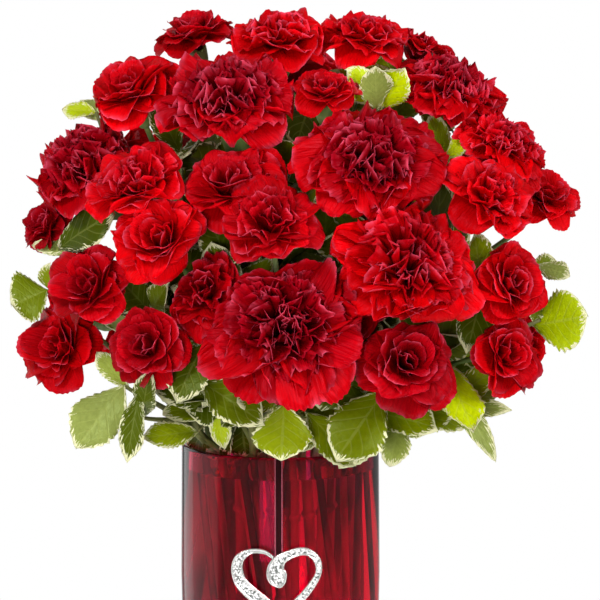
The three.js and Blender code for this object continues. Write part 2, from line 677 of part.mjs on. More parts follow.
function bandSolid(pixels, width) {
  const points = pixels.map(([px, py]) => seen(px, py, CHARM_BACK));
  const rings = points.map((p, i) => {
    const before = points[Math.max(0, i - 1)];
    const after = points[Math.min(points.length - 1, i + 1)];
    const way = after.clone().sub(before).normalize();
    const across = vec(-way.z, 0, way.x).multiplyScalar(width(i / (points.length - 1)) / 2);
    const front = vec(0, -CHARM_THICK, 0);
    return [
      p.clone().sub(across),
      p.clone().add(across),
      p.clone().add(across).add(front),
      p.clone().add(front).add(vec(0, -CHARM_RIDGE, 0)),
      p.clone().sub(across).add(front),
    ];
  });
  return solidOf(loft(rings));
}

// The ribbon: a strap that hooks over the rim and runs down behind the heart's notch
const RIBBON_X = seen(279.5, 500, -VASE_RADIUS).x;
const RIBBON_END = seen(280, 562, -VASE_RADIUS).z;

function ribbonSolid() {
  const out = -(VASE_RADIUS + GAP);
  const within = -(insideRadius - 0.6 - 2 * GAP);
  const over = VASE_HEIGHT + GAP;
  const hook = new THREE.Shape();
  hook.moveTo(out, RIBBON_END);
  hook.lineTo(out, over);
  hook.lineTo(within, over);
  hook.lineTo(within, over - RIBBON_TAIL);
  hook.lineTo(within + RIBBON_THICK, over - RIBBON_TAIL);
  hook.lineTo(within + RIBBON_THICK, over + RIBBON_THICK);
  hook.lineTo(out - RIBBON_THICK, over + RIBBON_THICK);
  hook.lineTo(out - RIBBON_THICK, RIBBON_END);
  const strap = new THREE.ExtrudeGeometry(hook, { depth: RIBBON_WIDTH, bevelEnabled: false });
  const turn = new THREE.Matrix4().makeBasis(vec(0, 1, 0), vec(0, 0, 1), vec(1, 0, 0));
  return solidOf(strap.applyMatrix4(turn).translate(RIBBON_X - RIBBON_WIDTH / 2, 0, 0));
}

const matter = (color, roughness, more = {}) =>
  new THREE.MeshStandardMaterial({ color, roughness, ...more });
const petalRed = matter("#c1060f", 0.6);
const stemGreen = matter("#5f7f4a", 0.7);
const leafGreen = matter("#6f9420", 0.5);
const redGlass = matter("#8c0512", 0.05, { transparent: true, opacity: 0.5 });
const clearWater = matter("#dfe8ea", 0.02, { transparent: true, opacity: 0.3 });
const silver = matter("#c8c8cc", 0.25, { metalness: 1 });
const darkRibbon = matter("#3a0508", 0.6);
const bouquet = new THREE.Group();

function addMesh(name, solid, material, place = new THREE.Matrix4()) {
  const geometry = geometryOf(solid).applyMatrix4(place.clone().invert());
  const mesh = new THREE.Mesh(geometry, material);
  mesh.name = name;
  place.decompose(mesh.position, mesh.quaternion, mesh.scale);
  bouquet.add(mesh);
}

const obstacles = [vase];
for (const bloom of bloomList) {
  const { solid, place } = bloomSolid(bloom);
  addMesh(bloom.name, solid, petalRed, place);
  obstacles.push(solid);
}
for (const [name, stems] of Object.entries(BUNCHES)) {
  const slot = slots[name];
  const side = vec(-slot.y, slot.x, 0).normalize();
  const reachOf = (names) => meanOf(names.map((b) => bloomOf[b].at.clone())).dot(side);
  const sorted = [...stems].sort((a, b) => reachOf(a) - reachOf(b));
  const solids = sorted.flatMap((names, i) => {
    const offset = CROSSING * (sorted.length === 1 ? 0 : (2 * i) / (sorted.length - 1) - 1);
    return stemSolids(names, offset, slot);
  });
  const bunch = joined(solids);
  addMesh(name, bunch, stemGreen);
  obstacles.push(bunch);
}
Object.keys(SPRIGS).forEach((name, i) => {
  const sprig = sprigSolid(name, i + 1, obstacles);
  addMesh(name, sprig, leafGreen);
  obstacles.push(sprig);
});
addMesh("vase", vase, redGlass);
addMesh("water", waterSolid(), clearWater);
const leftBand = bandSolid(LEFT_BAND, (share) => 3.2 + 1.6 * Math.sin(Math.PI * share));
const rightBand = bandSolid(RIGHT_BAND, (share) => 3.6 - 0.9 * share);
addMesh("heart_charm", joined([leftBand, rightBand]), silver);
addMesh("ribbon", ribbonSolid(), darkRibbon);

export default bouquet;
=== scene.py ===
import functools
import math
from math import cos, pi, radians, sin

import bpy
import numpy as np
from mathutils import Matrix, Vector
from numpy.linalg import norm


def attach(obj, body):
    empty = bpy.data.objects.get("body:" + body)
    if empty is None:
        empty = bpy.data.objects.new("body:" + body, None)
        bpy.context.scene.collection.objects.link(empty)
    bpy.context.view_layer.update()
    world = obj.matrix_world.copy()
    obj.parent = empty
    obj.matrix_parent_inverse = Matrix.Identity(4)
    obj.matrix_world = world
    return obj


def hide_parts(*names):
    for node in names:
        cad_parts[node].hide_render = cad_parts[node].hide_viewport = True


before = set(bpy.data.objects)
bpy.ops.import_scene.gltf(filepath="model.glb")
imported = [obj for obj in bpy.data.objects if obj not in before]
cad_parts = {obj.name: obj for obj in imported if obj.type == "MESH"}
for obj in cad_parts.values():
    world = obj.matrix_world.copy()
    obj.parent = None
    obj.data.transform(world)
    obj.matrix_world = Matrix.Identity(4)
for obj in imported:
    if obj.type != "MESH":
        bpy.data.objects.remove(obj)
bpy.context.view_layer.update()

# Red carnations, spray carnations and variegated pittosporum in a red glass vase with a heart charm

# Measures that the solids share, in millimetres and radians
VASE_RADIUS = 51
VASE_HEIGHT = 152
WALL = 3.4
FLOOR = 9
BELLY_LEVEL = 85
WATER_DEPTH = 131
GAP = 0.3
SQUEEZE = 7
MOUTH = {"large": 6.5, "mini": 4.2}
CALYX = {"large": 19, "mini": 11}
LARGE_STEM = 2.3
SPRAY_STEM = 1.9
TWIG = 1.35
SPRIG_STEM = 2
SHOOT_FOOT = 1.8
SHOOT_END = 1.4
RIM_LEVEL = VASE_HEIGHT - 6
SLOT_RING = 37
SLOT_SPACING = 17
FOOT_TURN = 0.45
FOOT_SHRINK = 0.8
CROSSING = 5.2
SPRAY_FORK = 0.45
SPRIG_FORK = 0.3
FORK_BACK = 1.5
FORK_STEP = 3.5
LEAF_THICK = 0.8
ARCH = 0.25
ROOT_STEP = 3.5
GOLDEN = 2.39996
LEAF_TRIES = 9
SETBACKS = (0, 0.1, 0.2, 0.3)
SHIFTS = ((0, 0), (6, 0), (-6, 0), (0, 6), (0, -6), (12, 0), (-12, 0), (0, 12), (0, -12))
RIBBON_THICK = 0.9
RIBBON_TAIL = 11
RIBBON_TOP = (278.6, 500)
RIBBON_END = (280, 562)
STRAP_HALF = 1.5
STRAP_THICK = 0.4
CORD_OUT = 1.65
CORD_RADIUS = 0.38
TURN = 2 * pi

# The photograph's camera. The picture's middle is in pixels, and a pixel is in millimetres
DISTANCE = 1200
PITCH = radians(6.3)
MIDDLE = 300
PIXEL = 0.5075
SENSOR = 36


def vec(x, y, z):
    return np.array((x, y, z), dtype=float)


AIM = vec(10, 0, VASE_HEIGHT + 72.5)
EYE = AIM + DISTANCE * vec(0, -cos(PITCH), sin(PITCH))
STEM_FOCUS = vec(2, 0, VASE_HEIGHT + 4)
FACE_FOCUS = vec(8, 0, VASE_HEIGHT + 38)
DOME_CENTRE = vec(11, 0, VASE_HEIGHT + 72)
DOME = vec(124, 112, 128)
FRONT = vec(0, -1, 0)


def unit(v):
    return v / norm(v)


def lerp(a, b, share):
    return a + (b - a) * share


def mean_of(points):
    return sum(points) / len(points)


def draw(a, b):
    """A repeatable random share for a pair of numbers."""
    s = sin(a * 12.9898 + b * 78.233 + 4.1) * 43758.5453
    return s - math.floor(s)


def seen(px, py, y):
    """The point at depth y on the ray through a pixel."""
    right = (px - MIDDLE) * PIXEL / DISTANCE
    up = (MIDDLE - py) * PIXEL / DISTANCE
    c = cos(PITCH)
    s = sin(PITCH)
    ray = vec(right, c + up * s, -s + up * c)
    return EYE + ray * ((y - EYE[1]) / ray[1])


def on_dome(azimuth, elevation, share=1):
    """A point on the dome: azimuth 0 faces the camera and 90 is to its right."""
    a = radians(azimuth)
    e = radians(elevation)
    way = vec(cos(e) * sin(a), -cos(e) * cos(a), sin(e))
    return DOME_CENTRE + way * DOME * share


def frame_of(axis, roll=0):
    """Two directions square to an axis and to each other."""
    side = vec(0, 1, 0) if abs(axis[2]) > 0.95 else vec(0, 0, 1)
    u = unit(np.cross(side, axis))
    v = np.cross(axis, u)
    c = cos(roll)
    s = sin(roll)
    return u * c + v * s, v * c - u * s


# Blooms: px, py, depth, radius, lean to the front, red (0 burgundy, 1 scarlet), petals' size, tip up, rise
BLOOMS = {
    "large_1": (285, 338, -113, 42, 0.2, 0.18, 1.03, 0.28, 8),
    "large_2": (373, 154, -84, 40, 0.5, 0.27, 1.04, 0.22, 0),
    "large_3": (228, 104, -62, 37, 0.5, 0.2, 1.08, 0.42, 5),
    "large_4": (412, 262, -100, 38, 0.3, 1, 1.08, 0.25, 0),
    "large_5": (80, 160, -36, 36, 0.35, 0.25, 1.06, 0.35, 0),
    "large_6": (452, 86, -26, 34, 0.35, 0.42, 1, 0.4, 3),
    "large_7": (507, 142, -42, 28, 0.35, 1, 0.96, 0.3, 2),
    "mini_1": (128, 88, -40, 26, 0.5, 0.85, 0.98, 0.35, 2),
    "mini_2": (193, 36, -8, 22, 0.4, 0.5, 1, 0.55, 5),
    "mini_3": (280, 45, -36, 27, 0.5, 1, 1.02, 0.45, 7),
    "mini_4": (367, 45, -30, 27, 0.6, 0.95, 0.88, 0.5, 9),
    "mini_5": (327, 88, -66, 21, 0.5, 0.8, 0.82, 0.6, 3),
    "mini_6": (133, 177, -82, 27, 0.35, 0.75, 1, 0.5, 0),
    "mini_7": (44, 221, -38, 15, 0.35, 0.3, 1.05, 0.2, 0),
    "mini_8": (157, 238, -99, 28, 0.5, 1, 0.88, 0.15, 2),
    "mini_9": (230, 178, -84, 28, 0.35, 0.62, 1, 0.4, 0),
    "mini_10": (270, 218, -110, 27, 0.35, 0.55, 0.94, 0.3, 1),
    "mini_11": (85, 283, -82, 24, 0.35, 0.55, 0.84, 0.15, 0),
    "mini_12": (55, 350, -56, 24, 0.7, 0.8, 0.91, 0.2, 3),
    "mini_13": (143, 346, -96, 23, 0.35, 0.42, 0.94, 0.15, 1),
    "mini_14": (203, 288, -90, 25, 0.35, 0.52, 1, 0.1, 0),
    "mini_15": (495, 196, -82, 27, 0.35, 1, 0.94, 0.35, 3),
    "mini_16": (550, 190, -24, 22, 0.9, 1, 0.86, 0.45, 0),
    "mini_17": (515, 283, -76, 23, 0.35, 0.9, 1, 0.1, 1),
    "mini_18": (511, 357, -72, 23, 0.35, 0.85, 0.92, 0.1, 2),
    "mini_19": (411, 368, -104, 28, 0.35, 0.36, 0.92, 0.2, 4),
    "mini_20": (421, 52, 6, 20, -0.1, 0.6, 0.95, 0.3, 5),
    "mini_21": (350, 300, -88, 22, 0.35, 0.4, 1, 0.2, 0),
}

# Blooms behind: azimuth and elevation on the dome, and radius. Their lean, red, size and tip are the same
BLOOMS_BEHIND = {
    "large_8": (180, 0, 41),
    "large_9": (138, -6, 40),
    "large_10": (222, -6, 40),
    "large_11": (150, 38, 40),
    "large_12": (214, 38, 40),
    "mini_22": (98, -8, 30),
    "mini_23": (260, -2, 30),
    "mini_24": (104, 30, 30),
    "mini_25": (260, 34, 30),
    "mini_26": (182, 27, 27),
    "mini_27": (182, 68, 30),
    "mini_28": (200, -19, 26),
    "mini_29": (160, -19, 26),
}
BEHIND_LOOKS = (-0.1, 0.6, 0.98, 0.15)

# Small blooms with few, broad and calm petals
ROSE_LIKE = {f"mini_{number}" for number in (1, 2, 5, 7, 8, 9, 11, 12, 13, 16, 17, 18, 19, 25, 28)}

# Blooms whose outer petals are painted brighter and whose middle is darkened strongly with painted shade
SHADE_DARKENED_HEARTS = {"large_1", "large_2", "large_3"}

# How deep the foot of the petals lies under a bloom's centre, for a radius of 1
DEPTH = {"large": 0.84 * 0.55, "mini": 0.95 * 0.55}

blooms = []


class Bloom:
    def __init__(self, name, at, radius, lean, tone, spread, tip):
        self.name = name
        self.kind = name.split("_")[0]
        self.form = "rose" if name in ROSE_LIKE else self.kind
        self.at = at
        self.r = radius
        self.tone = tone
        self.spread = spread
        self.facing = unit(unit(unit(at - FACE_FOCUS) + vec(0, -lean, 0)) + vec(0, 0, tip))
        self.way = unit(at - STEM_FOCUS)
        self.base = at - self.facing * DEPTH[self.kind] * radius
        self.seed = len(blooms) + 1
        self.axes = frame_of(self.facing, draw(self.seed, 99) * TURN)


for name, (px, py, y, radius, *looks, rise) in BLOOMS.items():
    blooms.append(Bloom(name, seen(px, py, y) + vec(0, 0, rise), radius, *looks))
for name, (azimuth, elevation, radius) in BLOOMS_BEHIND.items():
    blooms.append(Bloom(name, on_dome(azimuth, elevation), radius, *BEHIND_LOOKS))
bloom_of = {bloom.name: bloom for bloom in blooms}

# The one behind on the right has short petals
bloom_of["mini_22"].spread = 0.72

# Blooms that overlap
PASSING = [{"large_4", "mini_21"}, {"large_1", "mini_21"}, {"large_5", "mini_6"}, {"mini_9", "mini_10"}]
NEIGHBOUR = 0.55
PRESS_GAP = -3


def walls_of(bloom):
    """The planes between a bloom and its neighbours, as the directions across them."""
    walls = []
    for other in blooms:
        if other is bloom or other.way @ bloom.way <= NEIGHBOUR or {bloom.name, other.name} in PASSING:
            continue
        edge = unit(lerp(bloom.way, other.way, bloom.r / (bloom.r + other.r)))
        walls.append(unit(other.way - edge * (other.way @ edge)))
    return walls


def squeeze(points, walls):
    """Points pressed back from each plane, closer the nearer they come."""
    points = points.copy()
    for wall in walls:
        room = -(points - STEM_FOCUS) @ wall - PRESS_GAP
        kept = SQUEEZE * np.exp((np.minimum(room, SQUEEZE) - SQUEEZE) / SQUEEZE)
        points += np.outer(np.where(room < SQUEEZE, room - kept, 0), wall)
    return points


# Materials
def rgb(text):
    """A hex colour as linear light."""
    parts = [int(text[i : i + 2], 16) / 255 for i in (1, 3, 5)]
    return [p / 12.92 if p <= 0.04045 else ((p + 0.055) / 1.055) ** 2.4 for p in parts]


class Nodes:
    """The nodes of a material or a world. An input is a number, a hex colour or a node's output."""

    def __init__(self, owner):
        owner.use_nodes = True
        self.nodes = owner.node_tree.nodes
        self.links = owner.node_tree.links

    def feed(self, socket, value):
        if isinstance(value, bpy.types.NodeSocket):
            self.links.new(value, socket)
        elif isinstance(value, str):
            socket.default_value = (*rgb(value), 1)
        else:
            socket.default_value = value

    def put(self, kind, inputs=(), output=0, **settings):
        """A new node, and of it the output that is asked for."""
        node = self.nodes.new("ShaderNode" + kind)
        for key, value in settings.items():
            setattr(node, key, value)
        for key, value in dict(inputs).items():
            self.feed(node.inputs[key], value)
        return node.outputs[output]

    def math(self, operation, *inputs, clamp=False):
        return self.put("Math", enumerate(inputs), operation=operation, use_clamp=clamp)

    def times(self, a, b):
        return self.math("MULTIPLY", a, b)

    def mix(self, share, a, b):
        return self.put("Mix", {0: share, 6: a, 7: b}, 2, data_type="RGBA")

    def ramp(self, share, *stops):
        colour = self.put("ValToRGB", {0: share})
        elements = colour.node.color_ramp.elements
        while len(elements) < len(stops):
            elements.new(0.5)
        for element, (position, text) in zip(elements, stops):
            element.position = position
            element.color = (*rgb(text), 1)
        return colour

    def spread(self, value, low, high):
        """A value's share of the way from low to high."""
        return self.put("MapRange", {"Value": value, "From Min": low, "From Max": high})

    def place(self):
        return self.put("TexCoord", output="Object")

    def noise(self, scale, detail=3, vector=None):
        inputs = {"Vector": vector or self.place(), "Scale": scale, "Detail": detail}
        return self.put("TexNoise", inputs)


class Material(Nodes):
    """A material round one principled shader, whose own sockets take the given values."""

    def __init__(self, name, **values):
        self.made = bpy.data.materials.new(name)
        super().__init__(self.made)
        self.shader = self.nodes["Principled BSDF"]
        for key, value in values.items():
            self.shader.inputs[key.replace("_", " ")].default_value = value

    def colour(self, value):
        self.feed(self.shader.inputs["Base Color"], value)

    def bump(self, height, distance, strength=1):
        inputs = {"Strength": strength, "Distance": distance, "Height": height}
        self.feed(self.shader.inputs["Normal"], self.put("Bump", inputs))

    def shares(self):
        """The four shares that a mesh keeps at each vertex."""
        colour = self.put("Attribute", attribute_name="shade")
        split = self.put("SeparateColor", {0: colour})
        return [*split.node.outputs, colour.node.outputs["Alpha"]]

    def grain(self, x, y, z, scale, detail=2):
        """Noise over three numbers, for streaks that follow a petal or a leaf."""
        return self.noise(scale, detail, self.put("CombineXYZ", {0: x, 1: y, 2: z}))

    def glow(self, colour, share):
        """The colour on the shader, and that share of it on light from behind."""
        self.colour(colour)
        through = self.put("BsdfTranslucent", {"Color": colour})
        both = self.put("MixShader", {0: share, 1: self.shader.outputs[0], 2: through})
        self.feed(self.nodes["Material Output"].inputs["Surface"], both)


def petal_material(kind):
    made = Material(kind + "_petal", Roughness=0.42, Specular_IOR_Level=0.2, Specular_Tint=(1, 0.3, 0.5, 1))
    along, petal, tone, across = made.shares()
    streak = made.grain(made.times(across, 7), made.times(along, 1.2), made.times(petal, 40), 2.5)
    place = made.math("SUBTRACT", made.math("ADD", along, made.times(streak, 0.16)), 0.08)
    # Painted shade and highlight: darker towards a petal's foot, deep in the bloom, and lighter and pinker in
    # the last stops at the very edge
    stops = (0, 0.35, 0.7, 0.96, 1)
    bright = made.ramp(place, *zip(stops, ("#a40006", "#c20006", "#de0006", "#f00008", "#fa0c1c")))
    dark = made.ramp(place, *zip(stops, ("#600008", "#74000a", "#8c000e", "#a40012", "#b00c24")))
    tone = made.math("SUBTRACT", made.math("ADD", tone, made.times(streak, 0.5)), 0.27, clamp=True)
    red = made.mix(tone, dark, bright)
    patch = made.spread(made.noise(110, 2), 0.47, 0.6)
    glint = made.math("MULTIPLY", made.math("POWER", along, 30), patch, clamp=True)
    red = made.mix(made.times(glint, 0.85), red, "#f65c7c")
    lift = made.math("MULTIPLY_ADD", petal, 0.4, 0.8)
    red = made.put("HueSaturation", {"Value": lift, "Color": red})
    made.bump(streak, 0.0012, 0.9)
    made.glow(red, 0.3)
    return made


petal = {kind: petal_material(kind) for kind in MOUTH}

# Leaves
sheen = (0.8, 1, 0.45, 1)
blade = Material("variegated_leaf", Roughness=0.38, Specular_IOR_Level=0.35, Specular_Tint=sheen)
along, margin, tone, across = blade.shares()
green = blade.ramp(
    tone, (0, "#303e00"), (0.2, "#606e04"), (0.4, "#96a602"), (0.5, "#a6b60a"), (0.6, "#a4b05a"),
    (0.7, "#acba4c"), (0.8, "#c8dc02"), (1, "#ecff00"),
)
veins = blade.grain(blade.times(across, 2), blade.times(along, 5), blade.times(tone, 30), 3)
green = blade.mix(blade.times(veins, 0.42), green, "#3e4a02")
outward = blade.math("ABSOLUTE", across)
slant = blade.math("MULTIPLY_ADD", outward, -3, blade.times(along, 9))
comb = blade.grain(slant, blade.times(across, 1.6), blade.times(tone, 50), 2.4, 4)
spill = blade.times(blade.math("POWER", along, 3), 0.13)
depth = blade.math("MULTIPLY_ADD", comb, 0.9, blade.times(margin, 0.75))
edge = blade.ramp(blade.math("SUBTRACT", depth, spill), (0.46, "#ffffff"), (0.5, "#000000"))
side_vein = blade.math("MAXIMUM", blade.math("SINE", blade.times(slant, 4.2)), 0)
side_vein = blade.math("POWER", side_vein, 9)
rib = blade.math("LESS_THAN", outward, 0.05)
green = blade.mix(blade.times(blade.math("MAXIMUM", side_vein, rib), 0.14), green, "#c4cc70")
height = blade.math("SUBTRACT", outward, blade.times(side_vein, 0.3))
blade.bump(blade.math("ADD", height, veins), 0.0006, 0.6)
blade.glow(blade.mix(edge, green, "#f2f0c4"), 0.22)

# Each bark: roughness, grit, colour stops above the rim, and the darker and paler streak colours below it,
# whose paleness is painted light
BARKS = {
    "stem": (0.55, 500, [(0.25, "#4c6430"), (0.5, "#76924c"), (0.75, "#a0b074")], "#8c8c70", "#fffbe8"),
    "twig": (0.6, 600, [(0.3, "#565228"), (0.55, "#747840"), (0.8, "#949460")], "#6c6450", "#fff8e4"),
}


def bark_material(kind):
    """A stem's skin, painted far paler below the vase's rim, with pale and darker streaks there: painted
    light for the light that comes in through the glass.
    """
    roughness, grit, stops, shaded, pale = BARKS[kind]
    made = Material(kind, Roughness=roughness)
    place = made.place()
    tall = made.put("VectorMath", {0: place, 1: (1, 1, 0.1)}, operation="MULTIPLY")
    height = made.put("SeparateXYZ", {0: place}, "Z")
    sunk = made.spread(height, (VASE_HEIGHT + 2) / 1000, (VASE_HEIGHT - 14) / 1000)
    above = made.ramp(made.noise(70, 4), *stops)
    # Painted light: pale streaks on the stems inside the vase
    below = made.ramp(made.noise(90, 2, tall), (0.4, shaded), (0.6, pale))
    made.colour(made.mix(sunk, above, below))
    made.bump(made.noise(grit, 3), 0.0003, 0.5)
    return made


stem = bark_material("stem")
twig = bark_material("twig")

# Glass, water and silver
glass = Material("ruby_glass", Roughness=0.02, IOR=1.45, Transmission_Weight=1, Specular_IOR_Level=0.3)
glass.colour(glass.ramp(glass.noise(9, 1), (0.3, "#f23574"), (0.7, "#f64484")))
glass.bump(glass.noise(14, 1), 0.0004, 0.15)
tint = glass.put("VolumeAbsorption", {"Color": (0.94, 0.08, 0.6, 1), "Density": 250})
glass.feed(glass.nodes["Material Output"].inputs["Volume"], tint)

clear = (0.96, 0.97, 0.96, 1)
water = Material("water", Roughness=0, IOR=1.33, Transmission_Weight=1, Base_Color=clear)
water.bump(water.noise(40, 1), 0.0003, 0.15)

silver = Material("silver", Metallic=0.75, Roughness=0.24)
scuff = silver.noise(400, 4)
silver.colour(silver.ramp(scuff, (0.3, "#e6e4e0"), (0.7, "#ffffff")))
silver.bump(scuff, 0.0001, 0.3)

# Stones and ribbon
gem = Material("cut_stone", Roughness=0.05, IOR=1.9)
# Painted reflection: the stones' dark grey and white speckle stands in for the flash of their facets
gem.colour(gem.ramp(gem.noise(900, 1), (0.42, "#5c625c"), (0.55, "#ffffff")))

cord = Material("dark_ribbon", Roughness=0.45, Specular_IOR_Level=0.15)
edge = cord.shares()[0]
twist = cord.noise(1500, 2)
dark = cord.ramp(twist, (0.3, "#180103"), (0.7, "#30040a"))
light = cord.ramp(twist, (0.3, "#7c3040"), (0.7, "#b05c6c"))
cord.colour(cord.mix(edge, dark, light))
cord.bump(twist, 0.0002, 0.8)

# Floor
pale = Material("pale_floor", Roughness=0.7)
pale.colour(pale.ramp(pale.noise(3, 2), (0.3, "#f2f2f1"), (0.7, "#f8f8f8")))

# Mesh building
PLAIN = (0.5, 0.5, 0.5, 0.5)


class Build:
    """Gathers vertices, faces and a colour for each vertex, for one object."""

    def __init__(self):
        self.points = []
        self.faces = []
        self.shades = []
        self.count = 0

    def add(self, points, faces, shades=PLAIN):
        self.points.append(points)
        self.faces += [[i + self.count for i in face] for face in faces]
        self.shades.append(np.broadcast_to(shades, (len(points), 4)))
        self.count += len(points)

    def object(self, name, material, smooth=True):
        mesh = bpy.data.meshes.new(name)
        mesh.from_pydata((np.concatenate(self.points) / 1000).tolist(), [], self.faces)
        shade = mesh.color_attributes.new("shade", "FLOAT_COLOR", "POINT")
        shade.data.foreach_set("color", np.concatenate(self.shades).ravel())
        mesh.polygons.foreach_set("use_smooth", [smooth] * len(mesh.polygons))
        mesh.materials.append(material.made)
        mesh.update()
        piece = bpy.data.objects.new(name, mesh)
        bpy.context.scene.collection.objects.link(piece)
        return piece


@functools.cache
def sheet_faces(n, m):
    """Faces of a closed thin sheet over an n by m grid: the upper grid, the under grid and the rim."""
    index = np.arange(n * m).reshape(n, m)
    a, b, c, d = index[:-1, :-1], index[1:, :-1], index[1:, 1:], index[:-1, 1:]
    upper = np.stack([a, b, c, d], -1).reshape(-1, 4)
    under = upper[:, ::-1] + n * m
    edge = np.concatenate([index[:, 0], index[-1, 1:], index[-2::-1, -1], index[0, -2:0:-1]])
    after = np.roll(edge, -1)
    rim = np.stack([after, edge, edge + n * m, after + n * m], -1)
    return np.concatenate([upper, under, rim]).tolist()


def add_sheet(build, grid, shade, thick):
    """A closed sheet round a grid of points, thinner towards its far edge."""
    normal = np.cross(np.gradient(grid, axis=0), np.gradient(grid, axis=1))
    normal /= np.maximum(norm(normal, axis=-1, keepdims=True), 1e-9)
    lift = normal * (thick / 2) * np.linspace(1, 0.3, grid.shape[1])[None, :, None]
    points = np.concatenate([(grid + lift).reshape(-1, 3), (grid - lift).reshape(-1, 3)])
    tones = np.stack(np.broadcast_arrays(*shade), -1).reshape(-1, 4)
    build.add(points, sheet_faces(*grid.shape[:2]), np.concatenate([tones, tones]))


def ways_along(points):
    """The direction of a path at each of its points."""
    ways = np.gradient(points, axis=0)
    return ways / norm(ways, axis=1, keepdims=True)


def loft(build, rings, shade=PLAIN):
    """A closed skin over rings of equal count, with a fan at either end."""
    rings = np.array(rings)
    m, n = rings.shape[:2]
    index = np.arange(m * n).reshape(m, n)
    after = np.roll(index, -1, axis=1)
    faces = np.stack([index[:-1], after[:-1], after[1:], index[1:]], -1).reshape(-1, 4).tolist()
    faces += [[m * n, b, a] for a, b in zip(index[0], after[0])]
    faces += [[m * n + 1, a, b] for a, b in zip(index[-1], after[-1])]
    points = np.concatenate([rings.reshape(-1, 3), rings[:1].mean(1), rings[-1:].mean(1)])
    build.add(points, faces, shade)


def ring_of(count, u, v):
    """Directions at even steps round a circle that starts at u and turns to v."""
    a = TURN * np.arange(count) / count
    return np.outer(np.cos(a), u) + np.outer(np.sin(a), v)


def tube(build, points, radii, sides, shade=PLAIN):
    """A capped tube of changing radius. Its rings keep the same roll from end to end."""
    points = np.array(points)
    ways = ways_along(points)
    u = frame_of(ways[0])[0]
    rings = []
    for point, way, radius in zip(points, ways, np.broadcast_to(radii, len(points))):
        u = unit(u - way * (u @ way))
        rings.append(point + radius * ring_of(sides, u, np.cross(way, u)))
    loft(build, rings, shade)


def bend(start, start_way, end, end_way, count):
    """The points of a curve that leaves one place and reaches another in given directions."""
    reach = norm(end - start) * 0.36
    a, b, c, d = start, start + start_way * reach, end - end_way * reach, end
    t = np.linspace(0, 1, count + 1)[:, None]
    return list((1 - t) ** 3 * a + 3 * t * (1 - t) ** 2 * b + 3 * t**2 * (1 - t) * c + t**3 * d)


def smooth_path(points, steps):
    """A curve through the points, with the given steps between each two."""
    points = np.array(points, dtype=float)
    padded = np.concatenate([[2 * points[0] - points[1]], points, [2 * points[-1] - points[-2]]])
    t = (np.arange(steps) / steps)[:, None]
    pieces = []
    for a, b, c, d in zip(padded, padded[1:], padded[2:], padded[3:]):
        bow = 2 * a - 5 * b + 4 * c - d
        pieces.append(b + 0.5 * t * (c - a + t * (bow + t * (3 * (b - c) + d - a))))
    return np.concatenate([*pieces, points[-1:]])


# Layers of petals: count, lean in degrees, length, half width, waves, their height, points across and along
PETAL_LAYERS = {
    "large": [
        (10, 102, 1.16, 0.43, 1.3, 0.06, 21, 11),
        (9, 88, 1.04, 0.41, 1.5, 0.07, 21, 10),
        (8, 66, 0.84, 0.36, 1.8, 0.09, 23, 9),
        (8, 50, 0.78, 0.33, 2, 0.1, 23, 8),
        (7, 32, 0.76, 0.27, 1.9, 0.1, 19, 8),
        (5, 14, 0.74, 0.22, 1.7, 0.09, 17, 7),
        (4, -4, 0.7, 0.15, 1.4, 0.06, 13, 6),
    ],
    "mini": [
        (6, 102, 1.18, 0.6, 1.1, 0.07, 19, 10),
        (6, 84, 1.08, 0.5, 1.3, 0.08, 17, 9),
        (5, 58, 0.92, 0.42, 1.5, 0.09, 17, 8),
        (5, 36, 0.86, 0.34, 1.5, 0.09, 13, 7),
        (4, 15, 0.82, 0.28, 1.2, 0.07, 15, 7),
        (3, -3, 0.78, 0.17, 1.2, 0.05, 13, 6),
    ],
    "rose": [
        (5, 102, 1.18, 0.64, 0.8, 0.05, 21, 10),
        (5, 82, 1.08, 0.58, 0.9, 0.05, 19, 9),
        (5, 56, 0.95, 0.5, 0.9, 0.05, 17, 8),
        (4, 36, 0.86, 0.44, 0.8, 0.05, 15, 7),
        (4, 17, 0.78, 0.34, 0.8, 0.05, 13, 7),
        (3, 0, 0.7, 0.24, 0.8, 0.04, 13, 6),
    ],
}
TOOTH = {"large": 0.9, "mini": 0.4}
PETAL_THICK = 0.35
CLAW_LEAN = 0.16
CLAW_OUT = 1.2
CLAW_DROP = 1.5
BEND_SHARE = 0.62

# Blooms that face away further than this have coarser petals
FACING_AWAY = 0.1

# Where a bloom reaches further out: the heading (0 right, 90 up), its spread, and the gain
REACH = {
    "large_1": [(168, 24, 0.1)],
    "large_2": [(175, 30, 0.06)],
    "large_4": [(152, 34, 0.3), (-60, 24, 0.1), (0, 24, -0.08)],
    "large_5": [(186, 14, -0.18)],
    "large_7": [(-70, 30, 0.08)],
    "mini_1": [(135, 50, 0.16), (5, 20, 0.16)],
    "mini_7": [(150, 60, 0.24)],
    "mini_8": [(140, 45, 0.14)],
    "mini_11": [(85, 45, 0.26), (175, 40, 0.4)],
    "mini_12": [(175, 50, 0.34)],
    "mini_16": [(-40, 40, 0.12)],
    "mini_18": [(-60, 30, 0.18)],
}


def gain_of(bloom, turn):
    """How much longer the petal at that turn grows than its layer's others."""
    u, v = bloom.axes
    way = cos(turn) * u + sin(turn) * v
    gain = 1
    for heading, spread, more in REACH.get(bloom.name, []):
        off = math.remainder(math.atan2(way[2], way[0]) - radians(heading), TURN)
        gain += more * math.exp(-(off / radians(spread)) ** 2)
    return gain


def tone_and_shade_of(bloom, inward):
    """A petal's red: the bloom's own red, darkened from the outer layer (0) to the inner one (1) with painted
    shade in the bloom's middle.
    """
    if bloom.name in SHADE_DARKENED_HEARTS:
        return max(0, bloom.tone + 0.45 - 1.44 * inward)
    # Painted shade: the inner layers are darkened, and the outer layers of the less bright blooms lifted
    # against them
    deep, steep = (0.75, 1.3) if bloom.kind == "large" else (0.35, 0.5)
    return bloom.tone * (1 - deep * inward) * max(0, 1 + steep * (1 - bloom.tone) * (1 - 2.2 * inward))


